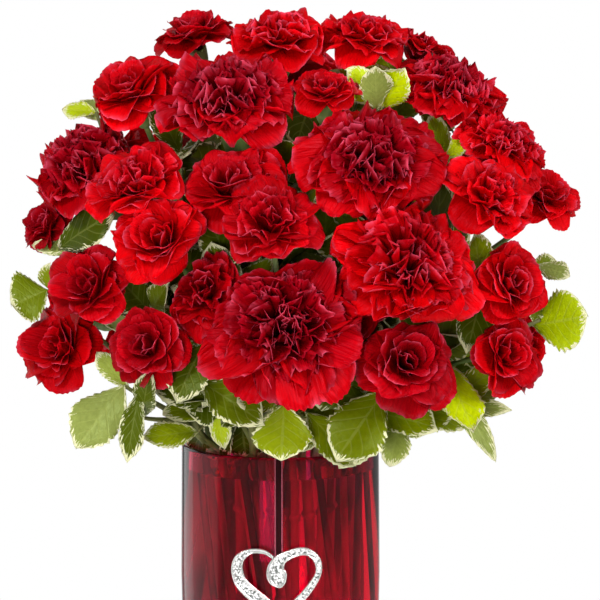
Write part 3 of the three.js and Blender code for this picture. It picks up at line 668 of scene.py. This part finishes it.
def rib_of(run, full, lean, curl):
    """A petal's middle line at each of the given lengths along it: how far out, how high and how steep."""
    steps = np.linspace(0, 1.02, 40)
    ease = np.minimum(steps / BEND_SHARE, 1)
    angle = CLAW_LEAN + (lean - CLAW_LEAN) * ease**2 * (3 - 2 * ease) + (0.25 + 0.9 * curl) * steps**4
    hop = full * (steps[1] - steps[0])
    lines = np.cumsum(np.sin(angle)) * hop, np.cumsum(np.cos(angle)) * hop, angle
    out, rise, slope = [np.interp(run, steps * full, line) for line in lines]
    return (out + CLAW_OUT)[..., None], (rise - CLAW_DROP)[..., None], slope[..., None]


def petal_grid(bloom, index, k):
    """The middle surface of a petal in the bloom's own frame, and its shares for the colour."""
    layers = PETAL_LAYERS[bloom.form]
    count, lean, length, half, waves, wave, n, m = layers[index]
    if bloom.facing[1] > FACING_AWAY:
        n = n * 3 // 4 // 2 * 2 + 1
        m -= 2
    seed = bloom.seed * 13 + index * 5.3
    stray = [draw(seed, k * 7.1 + j) - 0.5 for j in range(10)]
    radius = bloom.r * bloom.spread
    u = np.linspace(-1, 1, n)[:, None]
    v = np.linspace(0, 1, m)[None, :]

    turn = TURN * (k + 0.5 * (index % 2) + 0.5 * stray[3]) / count + 0.3 * index
    full = radius * length * (1 + 0.14 * stray[0]) * gain_of(bloom, turn)
    run = v * (1 - 0.3 * np.abs(u) ** 2.6) * full
    out, rise, slope = rib_of(run, full, radians(lean + 22 * stray[1]), stray[2])

    wide = half * radius * (0.1 + 0.9 * np.sin(pi / 2 * np.minimum(v * 1.08, 1)) ** 1.4)
    cup = radius * (0.9 - 0.1 * index) * (1 + 0.6 * stray[4])
    bent = u * wide * (1 - 0.22 * np.abs(u) ** 3 * v**6) / cup
    side = np.sin(bent) * cup
    lift = (1 - np.cos(bent)) * cup
    ripple = pi * waves * u
    ruffle = np.sin(ripple + 6 * stray[5]) + 0.5 * np.sin(2.3 * ripple + 6 * stray[6])
    frill = np.sin(3.7 * ripple + 6 * stray[7])
    lift = lift + radius * wave * (1.1 + stray[8]) * (ruffle * v**2.2 + 0.25 * frill * v**5)
    lift = lift + 0.5 * stray[9] * side * v
    teeth = np.where(np.arange(n) % 2 == 0, -0.5, 0.5)[:, None] * v**12
    ragged = np.array([draw(seed + 3, k * 11 + i) - 0.5 for i in range(n)])[:, None] * v**8
    push = TOOTH[bloom.kind] * (teeth + ragged)

    outward = vec(cos(turn), sin(turn), 0)
    across = vec(-sin(turn), cos(turn), 0)
    axis = vec(0, 0, 1)
    ahead = np.sin(slope) * outward + np.cos(slope) * axis
    normal = -np.cos(slope) * outward + np.sin(slope) * axis
    grid = out * outward + rise * axis + side[..., None] * across
    grid = grid + lift[..., None] * normal + push[..., None] * ahead
    return grid, (v, draw(seed, k + 50), tone_and_shade_of(bloom, index / (len(layers) - 1)), u)


def bloom_piece(bloom):
    basis = np.stack([*bloom.axes, bloom.facing])
    walls = walls_of(bloom)
    build = Build()
    for index, layer in enumerate(PETAL_LAYERS[bloom.form]):
        for k in range(layer[0]):
            grid, shade = petal_grid(bloom, index, k)
            pressed = squeeze(bloom.base + grid.reshape(-1, 3) @ basis, walls)
            add_sheet(build, pressed.reshape(grid.shape), shade, PETAL_THICK)
    return build.object(bloom.name + "_petals", petal[bloom.kind])


# Stems: the blooms that each bunch's stems carry
BUNCHES = {
    "stems_1": [["large_3"], ["large_5"], ["mini_1", "mini_2", "mini_6"]],
    "stems_2": [["mini_7", "mini_11", "mini_12"], ["mini_8", "mini_13", "mini_14"]],
    "stems_3": [["large_1"], ["mini_9", "mini_10", "mini_21"]],
    "stems_4": [["large_2"], ["mini_3", "mini_4", "mini_5"]],
    "stems_5": [["large_6"], ["large_7"], ["mini_15", "mini_16", "mini_20"]],
    "stems_6": [["large_4"], ["mini_17", "mini_18", "mini_19"]],
    "stems_7": [["large_9"], ["large_11"], ["mini_22", "mini_24", "mini_29"]],
    "stems_8": [["large_10"], ["large_12"], ["mini_23", "mini_25", "mini_28"]],
    "stems_9": [["large_8"], ["mini_26", "mini_27"]],
}

# Shoots of each sprig: the end, then leaves: px, py, depth, width, green (0 dark, 1 yellow), maybe the root
SPRIGS = {
    "foliage_1": [
        (seen(112, 386, -72), (76, 449, -84, 24, 0.6), (97, 352, -64, 11, 0.7)),
        (seen(140, 392, -76), (127, 463, -90, 12, 0.15, 140, 390, -80), (150, 372, -98, 12, 0.2)),
        (seen(192, 372, -66), (176, 402, -102, 20, 0.15, 204, 342, -84),
            (142, 439, -84, 13, 0.5, 197, 432, -62)),
        (seen(60, 290, -46), (11, 305, -50, 25, 0.3), (50, 264, -58, 12, 0.45)),
    ],
    "foliage_2": [
        (seen(212, 386, -70), (264, 424, -100, 20, 0.25, 200, 381, -78), (224, 449, -46, 10, 0.85)),
        (seen(285, 396, -72), (281, 461, -98, 26, 0.45, 284, 404, -92), (238, 402, -96, 14, 0.4)),
        (seen(240, 420, -30), (204, 454, -16, 22, 0.05), (190, 452, -4, 18, 0.05, 214, 420, -20),
            (246, 458, -26, 22, 0.05)),
        (seen(310, 408, -66), (356, 466, -90, 18, 0.35, 306, 412, -82), (300, 452, -76, 16, 0.35)),
        (seen(226, 250, -60), (207, 214, -86, 18, 0.15), (246, 258, -90, 16, 0.15)),
    ],
    "foliage_3": [
        (seen(372, 388, -66), (336, 460, -100, 27, 0.3, 384, 392, -86), (326, 392, -92, 22, 0.2)),
        (seen(402, 416, -62), (433, 431, -72, 14, 0.6), (390, 466, -74, 14, 0.65)),
        (seen(456, 384, -58), (473, 433, -80, 20, 1), (496, 462, -66, 11, 0.6)),
        (seen(470, 366, -50), (512, 410, -52, 9, 0.6), (500, 366, -48, 14, 0.45)),
    ],
    "foliage_4": [
        (seen(484, 282, -52), (467, 352, -74, 18, 0.1), (474, 232, -66, 16, 0.4)),
        (seen(540, 320, -36), (587, 316, -42, 29, 0.8, 534, 326, -32), (534, 300, -24, 12, 0.25)),
        (seen(538, 266, -36), (570, 276, -40, 11, 0.6), (556, 262, -26, 12, 0.3)),
        (seen(450, 116, -30), (457, 161, -58, 15, 0.7), (432, 112, -44, 14, 0.5),
            (420, 98, -38, 20, 0.35, 452, 130, -30), (470, 136, -48, 10, 1, 446, 158, -44)),
    ],
    "foliage_5": [
        (seen(66, 244, -46), (112, 214, -68, 21, 0.08, 60, 248, -52), (32, 246, -44, 9, 0.6)),
        (seen(96, 112, -14), (62, 110, -14, 10, 0.85), (80, 100, -2, 12, 0.6)),
        (seen(152, 128, -36), (150, 98, -44, 14, 0.2), (190, 150, -58, 18, 0.15)),
        (seen(150, 312, -60), (114, 274, -78, 20, 0.15), (168, 284, -84, 14, 0.3)),
    ],
    "foliage_6": [
        (seen(386, 106, -24), (374, 62, -34, 22, 0.8), (410, 70, -28, 16, 0.85),
            (346, 70, -58, 17, 0.9, 376, 104, -46), (404, 68, -60, 17, 0.95, 384, 108, -48),
            (375, 66, -62, 15, 0.62, 376, 110, -50), (352, 54, -14, 24, 0.3, 362, 112, -10),
            (394, 50, -10, 24, 0.4, 384, 112, -8), (424, 78, -20, 20, 0.55, 394, 118, -14),
            (330, 70, -18, 16, 0.3, 352, 112, -14)),
        (seen(345, 92, -18), (362, 60, -26, 15, 0.8), (298, 84, -34, 12, 0.7),
            (296, 146, -40, 20, 0.1, 312, 98, -12)),
        (on_dome(160, 62, 0.8),),
        (on_dome(180, -30, 0.7),),
        (on_dome(122, 8, 0.74),),
        (on_dome(242, 14, 0.74),),
    ],
}

# Shoots with no leaves but those given above
TRIMMED = {("foliage_4", 1), ("foliage_4", 2)}

targets = {}
for name, stems in BUNCHES.items():
    targets[name] = mean_of([bloom_of[b].at for group in stems for b in group])
for name, shoots in SPRIGS.items():
    targets[name] = mean_of([shoot[0] for shoot in shoots])


def slots_for():
    """The spot of each bunch and sprig in the vase's mouth."""
    spots = []
    for target in targets.values():
        way = unit(target - STEM_FOCUS)
        fall = math.acos(way[2]) / (pi / 2)
        spots.append(unit(vec(way[0], way[1], 0)) * SLOT_RING * min(1, fall * 1.15))
    for _ in range(200):
        for i in range(len(spots)):
            for j in range(i + 1, len(spots)):
                between = spots[j] - spots[i]
                short = SLOT_SPACING - norm(between)
                if short > 0:
                    push = unit(between) * short * 0.5
                    spots[j] = spots[j] + push
                    spots[i] = spots[i] - push
        for i, spot in enumerate(spots):
            size = norm(spot)
            if size > SLOT_RING:
                spots[i] = spot * SLOT_RING / size
    return dict(zip(targets, spots))


slots = slots_for()


def standing(slot, offset):
    """A stem's mouth and foot points in the vase."""
    along = unit(slot) if norm(slot) > 1 else vec(1, 0, 0)
    side = vec(-along[1], along[0], 0)
    mouth = slot + side * offset
    foot = (slot - side * offset) * FOOT_SHRINK
    c = cos(FOOT_TURN)
    s = sin(FOOT_TURN)
    foot = vec(foot[0] * c - foot[1] * s, foot[0] * s + foot[1] * c, FLOOR + GAP)
    return vec(mouth[0], mouth[1], RIM_LEVEL), foot


def forks_of(path, count):
    """Where the twigs leave a stem, one below the other from its end."""
    back = unit(path[-2] - path[-1])
    return [path[-1] + back * (FORK_BACK + FORK_STEP * i) for i in range(count)]


# Rings of a calyx: width and height for a mouth and a length of 1, and how far its lobes go out and up
CALYX_RINGS = [
    (0.3, -1.1, 0, 0), (0.62, -1, 0, 0), (0.86, -0.8, 0, 0), (0.98, -0.5, 0, 0), (1, -0.15, 0, 0),
    (1.04, 0.02, 0.04, 0.1), (0.9, 0.02, 0.04, 0.1), (0.6, -0.2, 0, 0),
]


def calyx(build, bloom):
    """The green cup under a bloom, with five pointed lobes round its mouth."""
    length = CALYX[bloom.kind]
    mouth = MOUTH[bloom.kind] + 0.4
    circle = ring_of(20, *frame_of(bloom.facing))
    lobes = np.cos(TURN * np.arange(20) / 4)[:, None]
    rings = []
    for width, height, flare, crest in CALYX_RINGS:
        out = mouth * (width + flare * lobes)
        rise = length * (height + crest * lobes) - GAP
        rings.append(bloom.base + out * circle + rise * bloom.facing)
    loft(build, rings)


def stalk(build, before, start, start_way, bloom, radius, sides):
    """A stalk from a start to a bloom's calyx, with the calyx."""
    drop = {"large": 1.35, "mini": 1.2}[bloom.kind] * CALYX[bloom.kind]
    end = bloom.base - bloom.facing * (GAP + drop)
    foot = bloom.base - bloom.facing * (GAP + 0.95 * CALYX[bloom.kind])
    points = [*before, *bend(start, start_way, end, bloom.facing, 8), foot]
    if before:
        points[1:1] = [lerp(before[0], start, share) for share in (0.3, 0.6, 0.85)]
    tube(build, points, radius, sides)
    calyx(build, bloom)


# A stem's swollen joint: steps along the stem, and how wide it is there
JOINT = [(-2.4, 0.9), (-1.1, 1.25), (0, 1.42), (1.1, 1.25), (2.4, 0.9)]


def joint_rings(build, path, radius):
    """The swollen joints of a carnation stem, at even steps along its path."""
    for share in (0.22, 0.52, 0.84):
        i = int(share * (len(path) - 1))
        way = unit(path[i + 1] - path[i])
        tube(build, [path[i] + way * x for x, _ in JOINT], [radius * wide for _, wide in JOINT], 10)


def stem_piece(name):
    """A bunch's stems with their calyces."""
    build = Build()
    slot = slots[name]
    side = unit(vec(-slot[1], slot[0], 0))
    stems = sorted(BUNCHES[name], key=lambda names: mean_of([bloom_of[b].at for b in names]) @ side)
    for i, names in enumerate(stems):
        mouth, foot = standing(slot, CROSSING * (2 * i / (len(stems) - 1) - 1))
        up = unit(mouth - foot)
        carried = [bloom_of[b] for b in names]
        shaft = [lerp(foot, mouth, share) for share in np.linspace(0, 1, 20)]
        if len(carried) == 1:
            stalk(build, [foot], mouth, up, carried[0], LARGE_STEM, 12)
            joint_rings(build, shaft, LARGE_STEM)
            continue
        joint_rings(build, shaft, SPRAY_STEM)
        middle = mean_of([bloom.base for bloom in carried])
        fork = lerp(mouth, middle, SPRAY_FORK)
        onward = unit(middle - mouth)
        starts = forks_of([foot, *bend(mouth, up, fork, onward, 2)], len(carried))
        tube(build, [*shaft[:-1], *bend(mouth, up, fork, onward, 6)], SPRAY_STEM, 12)
        for bloom, start in zip(carried, starts):
            stalk(build, [], start, onward, bloom, TWIG, 8)
    return build.object(name + "_stalks", stem)


# Inside each sprig: a lower stem (azimuth, radius), then the inner twigs' ends (azimuth, elevation, share)
INNER = {
    "foliage_1": [(-64, 41), (-75, 0, 0.7), (-40, -16, 0.74), (-62, 22, 0.68)],
    "foliage_2": [(-25, 41), (-22, 4, 0.74), (-30, -24, 0.74), (-12, 36, 0.67), (-40, 48, 0.67)],
    "foliage_3": [(26, 41), (14, 2, 0.74), (20, -22, 0.74), (40, -10, 0.72), (2, 60, 0.68)],
    "foliage_4": [(70, 41), (70, -4, 0.7), (52, 16, 0.7), (60, 44, 0.67), (30, 34, 0.68)],
    "foliage_5": [(-150, 38), (-95, 30, 0.64), (-120, 4, 0.68), (-150, 26, 0.67), (-140, -20, 0.7)],
    "foliage_6": [
        (140, 38), (120, 30, 0.64), (150, 8, 0.68), (180, 50, 0.64), (165, -20, 0.7), (100, -24, 0.7),
    ],
}
SUNK_STEM = 1.9
SUNK_TURN = 0.5
INNER_LEAVES = 12
INNER_REACH = 0.84


def leaf(build, root, tip, face, width, tone, seed, size=(13, 25)):
    """A pittosporum leaf: broadest past its middle, folded along its rib, arched, with a waved margin."""
    n, m = size
    along = tip - root
    length = norm(along)
    side = unit(np.cross(along, face))
    up = unit(np.cross(side, along))
    u = np.linspace(-1, 1, n)[:, None]
    v = np.linspace(0, 1, m)[None, :]
    point = 0.62 + 0.5 * draw(seed, 8) * v**2
    half = width * 0.53 * np.sin(pi * np.minimum(v**1.3, 0.9999)) ** point
    half = np.maximum(half, 0.55 * (1 - v) + 0.05)
    swell = 1 + 0.06 * np.sin(8 * v + 5 * draw(seed, 1) + 2 * np.sign(u))
    saw = np.array([0.09 * (draw(seed + 9, i) - 0.5) + 0.04 * (i % 2 * 2 - 1) for i in range(m)])[None, :]
    across = u * half * (swell + np.abs(u) ** 6 * saw)
    wave = np.sin(7 * v + 6 * draw(seed, 2) + np.sign(u) * (1 + 3 * draw(seed, 3)))
    rise = ARCH * length * v * (1 - v) + 0.1 * width * u**2 * wave - 0.1 * half * (1 - np.abs(u)) ** 2
    grid = root + v[..., None] * along + across[..., None] * side + rise[..., None] * up
    margin = np.minimum((1 - np.abs(u)) * half, (1 - v) * length * 0.7)
    add_sheet(build, grid, (v, margin / 10, tone, u), 0.45)


def found(cloud, point, reach=0.1):
    """True where the cloud has a point that near."""
    return np.min(np.sum((cloud - point) ** 2, axis=1)) < reach**2


def shoot_of(cloud, shoot_at, start, onward):
    """Where the shoot of the solid ends, which is where its mesh has corners, and its path's last part."""
    spots = [lerp(shoot_at, start, back) + vec(right, 0, rise) for back in SETBACKS for right, rise in SHIFTS]
    for at in [*spots, shoot_at]:
        before = bend(start, onward, at, unit(at - start), 2)[1]
        corners = at + SHOOT_END * ring_of(3, *frame_of(unit(at - before)))
        if sum(found(cloud, corner) for corner in corners) >= 2:
            break
    return at, at - before


def turned(root, way, seed, k, splay, length):
    """The tip of the leaf with the number k, of those that turn round a twig by the golden angle."""
    u, v = frame_of(way, TURN * draw(seed, 5))
    out = u * cos(k * GOLDEN) + v * sin(k * GOLDEN)
    return root + (way * cos(splay) + out * sin(splay)) * length


def sunk_stem(twigs, start, azimuth, reach):
    """A stem that leans over the mouth's inside and runs down near the glass, turning as it goes."""
    a = radians(azimuth)
    b = a + SUNK_TURN
    mouth = vec(reach * sin(a), -reach * cos(a), RIM_LEVEL - 2)
    foot = vec(reach * sin(b), -reach * cos(b), FLOOR + 1.5)
    path = bend(start, unit(vec(mouth[0], mouth[1], start[2]) - start), mouth, unit(foot - mouth), 8)
    path += [lerp(mouth, foot, share) for share in (0.25, 0.5, 0.75, 1)]
    tube(twigs, path, SUNK_STEM, 10)


def inner_twig(leaves, twigs, start, onward, end, seed):
    """A twig inside the dome, with leaves all along its outer half."""
    path = bend(start, onward, end, unit(end - DOME_CENTRE + vec(0, 0, 30)), 14)
    tube(twigs, path, np.linspace(1.5, 0.8, len(path)), 6)
    for k in range(INNER_LEAVES):
        i = 6 + 8 * k // 11
        way = unit(path[i] - path[i - 1])
        length = 34 + 14 * draw(seed, k)
        tip = turned(path[i], way, seed, k, 1.15 - 0.05 * k, length)
        height = norm((tip - DOME_CENTRE) / DOME)
        if height > INNER_REACH:
            tip = DOME_CENTRE + (tip - DOME_CENTRE) * INNER_REACH / height
        leaf(leaves, path[i], tip, way, 0.55 * length, 0.1 + 0.3 * draw(seed, k + 20), seed + k, (7, 9))


def shoot_leaves(leaves, twigs, cloud, at, way, step, given, last, seed):
    """A shoot's given leaves, and after them those of its solid up to the last."""
    for k, (px, py, y, width, tone, *place) in enumerate(given):
        tip = seen(px, py, y)
        root = seen(*place) if place else at - way * step * k
        if place:
            tube(twigs, bend(at - way * 4, way, root, unit(tip - root), 6), np.linspace(0.8, 0.5, 7), 6)
        leaf(leaves, root, tip, FRONT + vec(0, 0, 0.35) + way * 0.3, width, tone, seed + k)
    for k in range(len(given), last):
        root = at - way * step * k
        length = 34 + 10 * draw(seed, k)
        tip = turned(root, way, seed, k, 0.6 + 0.08 * k, length)
        along = tip - root
        lift = unit(np.cross(np.cross(along, way), along)) * LEAF_THICK / 2
        hanging = tip[2] < RIM_LEVEL - 8
        if not hanging and (found(cloud, tip + lift) or found(cloud, tip - lift)):
            leaf(leaves, root, tip, way, 0.5 * length, 0.2 + 0.5 * draw(seed, k + 20), seed + k)


def sprig_pieces(name, number):
    """A branch's leaves and its twigs."""
    cloud = np.array([v.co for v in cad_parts[name].data.vertices]) * 1000
    leaves = Build()
    twigs = Build()
    mouth, foot = standing(slots[name], 0)
    up = unit(mouth - foot)
    fork = lerp(mouth, targets[name], SPRIG_FORK)
    onward = unit(targets[name] - mouth)
    starts = forks_of([foot, *bend(mouth, up, fork, onward, 2)], len(SPRIGS[name]))
    path = [lerp(foot, mouth, x) for x in np.linspace(0, 0.95, 12)] + bend(mouth, up, fork, onward, 6)
    tube(twigs, path, np.linspace(SPRIG_STEM, SPRIG_STEM * 0.85, len(path)), 12)
    sunk, *ends = INNER[name]
    for i, place in enumerate(ends):
        start = lerp(path[-1], mouth, 0.12 * (i + 1))
        inner_twig(leaves, twigs, start, onward, on_dome(*place), number * 50 + i)
    sunk_stem(twigs, lerp(mouth, fork, 0.3), *sunk)
    for i, (shoot_at, *given) in enumerate(SPRIGS[name]):
        seed = number * 100 + i * 17
        at, last_part = shoot_of(cloud, shoot_at, starts[i], onward)
        step = min(ROOT_STEP, 0.9 * norm(last_part) / LEAF_TRIES)
        path = bend(starts[i], onward, at, unit(at - starts[i]), 8)
        tube(twigs, path, np.linspace(SHOOT_FOOT, 0.9, len(path)), 8)
        last = 0 if (name, i) in TRIMMED else LEAF_TRIES
        shoot_leaves(leaves, twigs, cloud, at, unit(last_part), step, given, last, seed)
    return leaves.object(name + "_leaves", blade), twigs.object(name + "_twigs", twig)


# Turned pieces
VASE_PROFILE = [
    (0, 0), (46, 0), (49.4, 2.2), (VASE_RADIUS, BELLY_LEVEL), (50.4, 151), (49.6, VASE_HEIGHT),
    (48, VASE_HEIGHT), (47, 151), (VASE_RADIUS - WALL, BELLY_LEVEL), (45.1, FLOOR), (0, FLOOR),
]
WATER_RADIUS = VASE_RADIUS - WALL + 0.1
SURFACE = FLOOR + WATER_DEPTH
WATER_PROFILE = [
    (0, FLOOR - 0.1), (45, FLOOR - 0.1), (WATER_RADIUS, BELLY_LEVEL), (WATER_RADIUS - 0.3, SURFACE + 0.6),
    (WATER_RADIUS - 1, SURFACE + 0.1), (WATER_RADIUS - 2.5, SURFACE), (0, SURFACE),
]


def softened(profile, size):
    """A profile with each inner corner rounded off over the given size."""
    corners = [np.array(p, dtype=float) for p in profile]
    points = [corners[0]]
    for before, at, after in zip(corners, corners[1:], corners[2:]):
        cut = min(size, 0.4 * norm(before - at), 0.4 * norm(after - at))
        a = at + unit(before - at) * cut
        b = at + unit(after - at) * cut
        for t in (0, 0.33, 0.67, 1):
            points.append((1 - t) ** 2 * a + 2 * t * (1 - t) * at + t**2 * b)
    return points + [corners[-1]]


def lathe(name, profile, softness, material):
    """A profile, softened and turned round the axis."""
    build = Build()
    circle = ring_of(128, vec(1, 0, 0), vec(0, 1, 0))
    loft(build, [r * circle + vec(0, 0, z) for r, z in softened(profile, softness) if r > 0.01])
    return build.object(name, material)


# The heart charm and its ribbon. Each band: pixels of the picture, and the band's width there in pixels
CHARM_BACK = -(VASE_RADIUS + 2 * GAP + RIBBON_THICK)
LEFT_BAND = [
    (273, 557, 2.5), (264, 551.5, 4), (251, 551, 5), (240.5, 557, 9), (237, 567, 11), (240, 580, 12),
    (248, 589.5, 13), (261, 600, 13), (283, 615, 8),
]
RIGHT_BAND = [
    (281, 614, 7), (299, 600, 8), (312, 584.5, 7), (318.5, 572, 6), (317.5, 560.5, 7), (310, 552.5, 7),
    (300, 551, 8), (288, 555, 9), (280, 560, 12), (276, 568, 17), (277, 576, 20), (279.5, 583, 14),
    (281, 587, 3),
]

# The right half of a band's section: share of its half width, and height in millimetres
HALF_SECTION = [(0.97, 0), (1, 0.5), (1, 1.3), (0.93, 1.8), (0.8, 1.95), (0.68, 1.75), (0.6, 1.4)]
BAND_SECTION = [(-0.97, 0), *HALF_SECTION, (0, 1.5), *[(-x, y) for x, y in HALF_SECTION[:0:-1]]]

# A stone's rings: radius and height for a size of 1
CUT = [(0.5, 0.5), (1, 0), (0.95, -0.25), (0.55, -0.6)]
STONE_SEAT = 1.45
LEFT_STONE = 0.62
RIGHT_STONE = 0.55


def square_to(way):
    """The direction across a band, square to its way, in the plane of the charm."""
    return vec(-way[2], 0, way[0])


def band(build, pixels):
    """A band of metal with raised rims, flat behind. Returns its middle line, its way and its half widths."""
    points = smooth_path([seen(px, py, CHARM_BACK) for px, py, _ in pixels], 6)
    halves = smooth_path([(w * PIXEL / 2, 0, 0) for _, _, w in pixels], 6)[:, 0]
    ways = ways_along(points)
    rings = []
    for p, way, half in zip(points, ways, halves):
        rings.append([p + square_to(way) * half * x + FRONT * y for x, y in BAND_SECTION])
    loft(build, rings)
    return points, ways, halves


def stones(build, points, ways, halves, first, last, size):
    """Small cut stones in rows along the middle of a band."""
    lengths = np.concatenate([[0], np.cumsum(norm(np.diff(points, axis=0), axis=1))])
    circle = ring_of(8, vec(1, 0, 0), vec(0, 0, -1))
    pitch = size * 2.05
    for step, at in enumerate(np.arange(first * lengths[-1], last * lengths[-1], pitch * 0.87)):
        middle = np.array([np.interp(at, lengths, points[:, k]) for k in range(3)])
        way = unit(np.array([np.interp(at, lengths, ways[:, k]) for k in range(3)]))
        room = np.interp(at, lengths, halves) * 0.72 - size
        rows = max(0, int(room / pitch + 0.5 * (step % 2)))
        shift = 0.5 * (step % 2) if rows else 0
        for row in range(-rows, rows + 1):
            offset = (row + shift) * pitch
            if abs(offset) > max(room, 0.01):
                continue
            centre = middle + square_to(way) * offset + FRONT * STONE_SEAT
            loft(build, [centre + size * (r * circle - y * FRONT) for r, y in CUT])


def heart():
    body = Build()
    left = band(body, LEFT_BAND)
    right = band(body, RIGHT_BAND)
    gems = Build()
    stones(gems, *left, 0.22, 0.96, LEFT_STONE)
    stones(gems, *right, 0.06, 0.97, RIGHT_STONE)
    return body.object("heart_metal", silver), gems.object("heart_stones", gem, smooth=False)


def ribbon():
    """A flat strap with a cord along each edge, over the rim and down behind the heart."""
    build = Build()
    x = seen(*RIBBON_TOP, -VASE_RADIUS)[0]
    low = seen(*RIBBON_END, -VASE_RADIUS)[2]
    out = -(VASE_RADIUS + GAP + RIBBON_THICK / 2)
    within = -(VASE_RADIUS - WALL - 0.6 - 2 * GAP - RIBBON_THICK / 2)
    over = VASE_HEIGHT + GAP + RIBBON_THICK / 2
    corners = [
        (out, low), (out, lerp(low, over, 0.35)), (out, lerp(low, over, 0.7)), (out, over - 1.5),
        (out + 0.6, over - 0.3), (lerp(out, within, 0.5), over + 0.1), (within - 0.6, over - 0.3),
        (within, over - 1.5), (within, over - RIBBON_TAIL),
    ]
    path = smooth_path([vec(x, y, z) for y, z in corners], 5)
    for offset in (-CORD_OUT, CORD_OUT):
        tube(build, path + vec(offset, 0, 0), CORD_RADIUS, 8, (1, 0.5, 0.5, 0.5))
    rings = []
    for p, way in zip(path, ways_along(path)):
        thick = vec(0, way[2], -way[1]) * STRAP_THICK / 2
        left, right = p + vec(-STRAP_HALF, 0, 0), p + vec(STRAP_HALF, 0, 0)
        rings.append([left - thick, right - thick, right + thick, left + thick])
    loft(build, rings, (0, 0.5, 0.5, 0.5))
    return build.object("ribbon_strap", cord)


# Putting the bouquet together
def settle(piece, slot, *nodes):
    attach(piece, "root")
    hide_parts(*nodes)


for bloom in blooms:
    settle(bloom_piece(bloom), "petals", bloom.name)
for name in BUNCHES:
    settle(stem_piece(name), "stems", name)
for number, name in enumerate(SPRIGS, 1):
    leaves, twigs = sprig_pieces(name, number)
    settle(leaves, "leaves", name)
    settle(twigs, "stems", name)
settle(lathe("vase_glass", VASE_PROFILE, 1.2, glass), "red_glass", "vase")
settle(lathe("water_body", WATER_PROFILE, 0.5, water), "water", "water")
metal, gems = heart()
settle(metal, "silver", "heart_charm")
settle(gems, "silver", "heart_charm")
settle(ribbon(), "ribbon", "ribbon")

# Floor, light and camera
bpy.ops.mesh.primitive_cylinder_add(vertices=96, radius=0.29, depth=0.01, location=(0, 0, -0.0055))
floor = bpy.context.object
floor.name = "floor"
floor.data.materials.append(pale.made)

scene = bpy.context.scene
scene.world = bpy.data.worlds.new("studio")
studio = Nodes(scene.world)
way = studio.put("TexCoord", output="Generated")
back = studio.put("SeparateXYZ", {0: way}, "Y")
behind = studio.math("MULTIPLY_ADD", back, 0.5, 0.5)
sky = studio.ramp(behind, (0, "#8c8c8c"), (0.955, "#8c8c8c"), (0.985, "#ffffff"), (1, "#ffffff"))
ray = studio.put("LightPath", output="Is Camera Ray")
studio.feed(studio.nodes["Background"].inputs["Color"], studio.mix(ray, sky, "#ffffff"))
scene.view_settings.view_transform = "Standard"


def lamp(name, place, aim, size, power):
    light = bpy.data.lights.new(name, "AREA")
    light.shape = "RECTANGLE"
    light.size, light.size_y = size
    light.energy = power
    thing = bpy.data.objects.new(name, light)
    scene.collection.objects.link(thing)
    thing.location = place
    thing.visible_camera = False
    thing.rotation_euler = (Vector(aim) - Vector(place)).to_track_quat("-Z", "Y").to_euler()
    return thing


lamp("key", (-0.7, -1.1, 1.2), (0, 0, 0.22), (0.4, 0.4), 14.5)
lamp("side", (1.1, -0.9, 0.9), (0, 0, 0.22), (0.3, 0.9), 16)
lamp("low", (-0.35, -1.4, 0.12), (0, 0, 0.14), (0.5, 0.5), 10).visible_glossy = False
lamp("left", (-1.25, 0.15, 0), (0, 0, 0.1), (1, 1.7), 2.3).visible_diffuse = False
lamp("rear", (0.35, 1.25, 0.8), (0, 0, 0.2), (0.6, 0.6), 12).visible_glossy = False
lamp("edge", (-0.95, 0.89, 0), (0, 0, 0.1), (0.65, 1.7), 3.1)

view = bpy.data.cameras.new("camera")
view.sensor_width = SENSOR
view.lens = SENSOR * DISTANCE / (PIXEL * 2 * MIDDLE)
view.dof.use_dof = False
view.clip_start = 0.05
view.clip_end = 20
camera = bpy.data.objects.new("camera", view)
camera.location = EYE / 1000
camera.rotation_euler = (pi / 2 - PITCH, 0, 0)
scene.collection.objects.link(camera)
scene.camera = camera
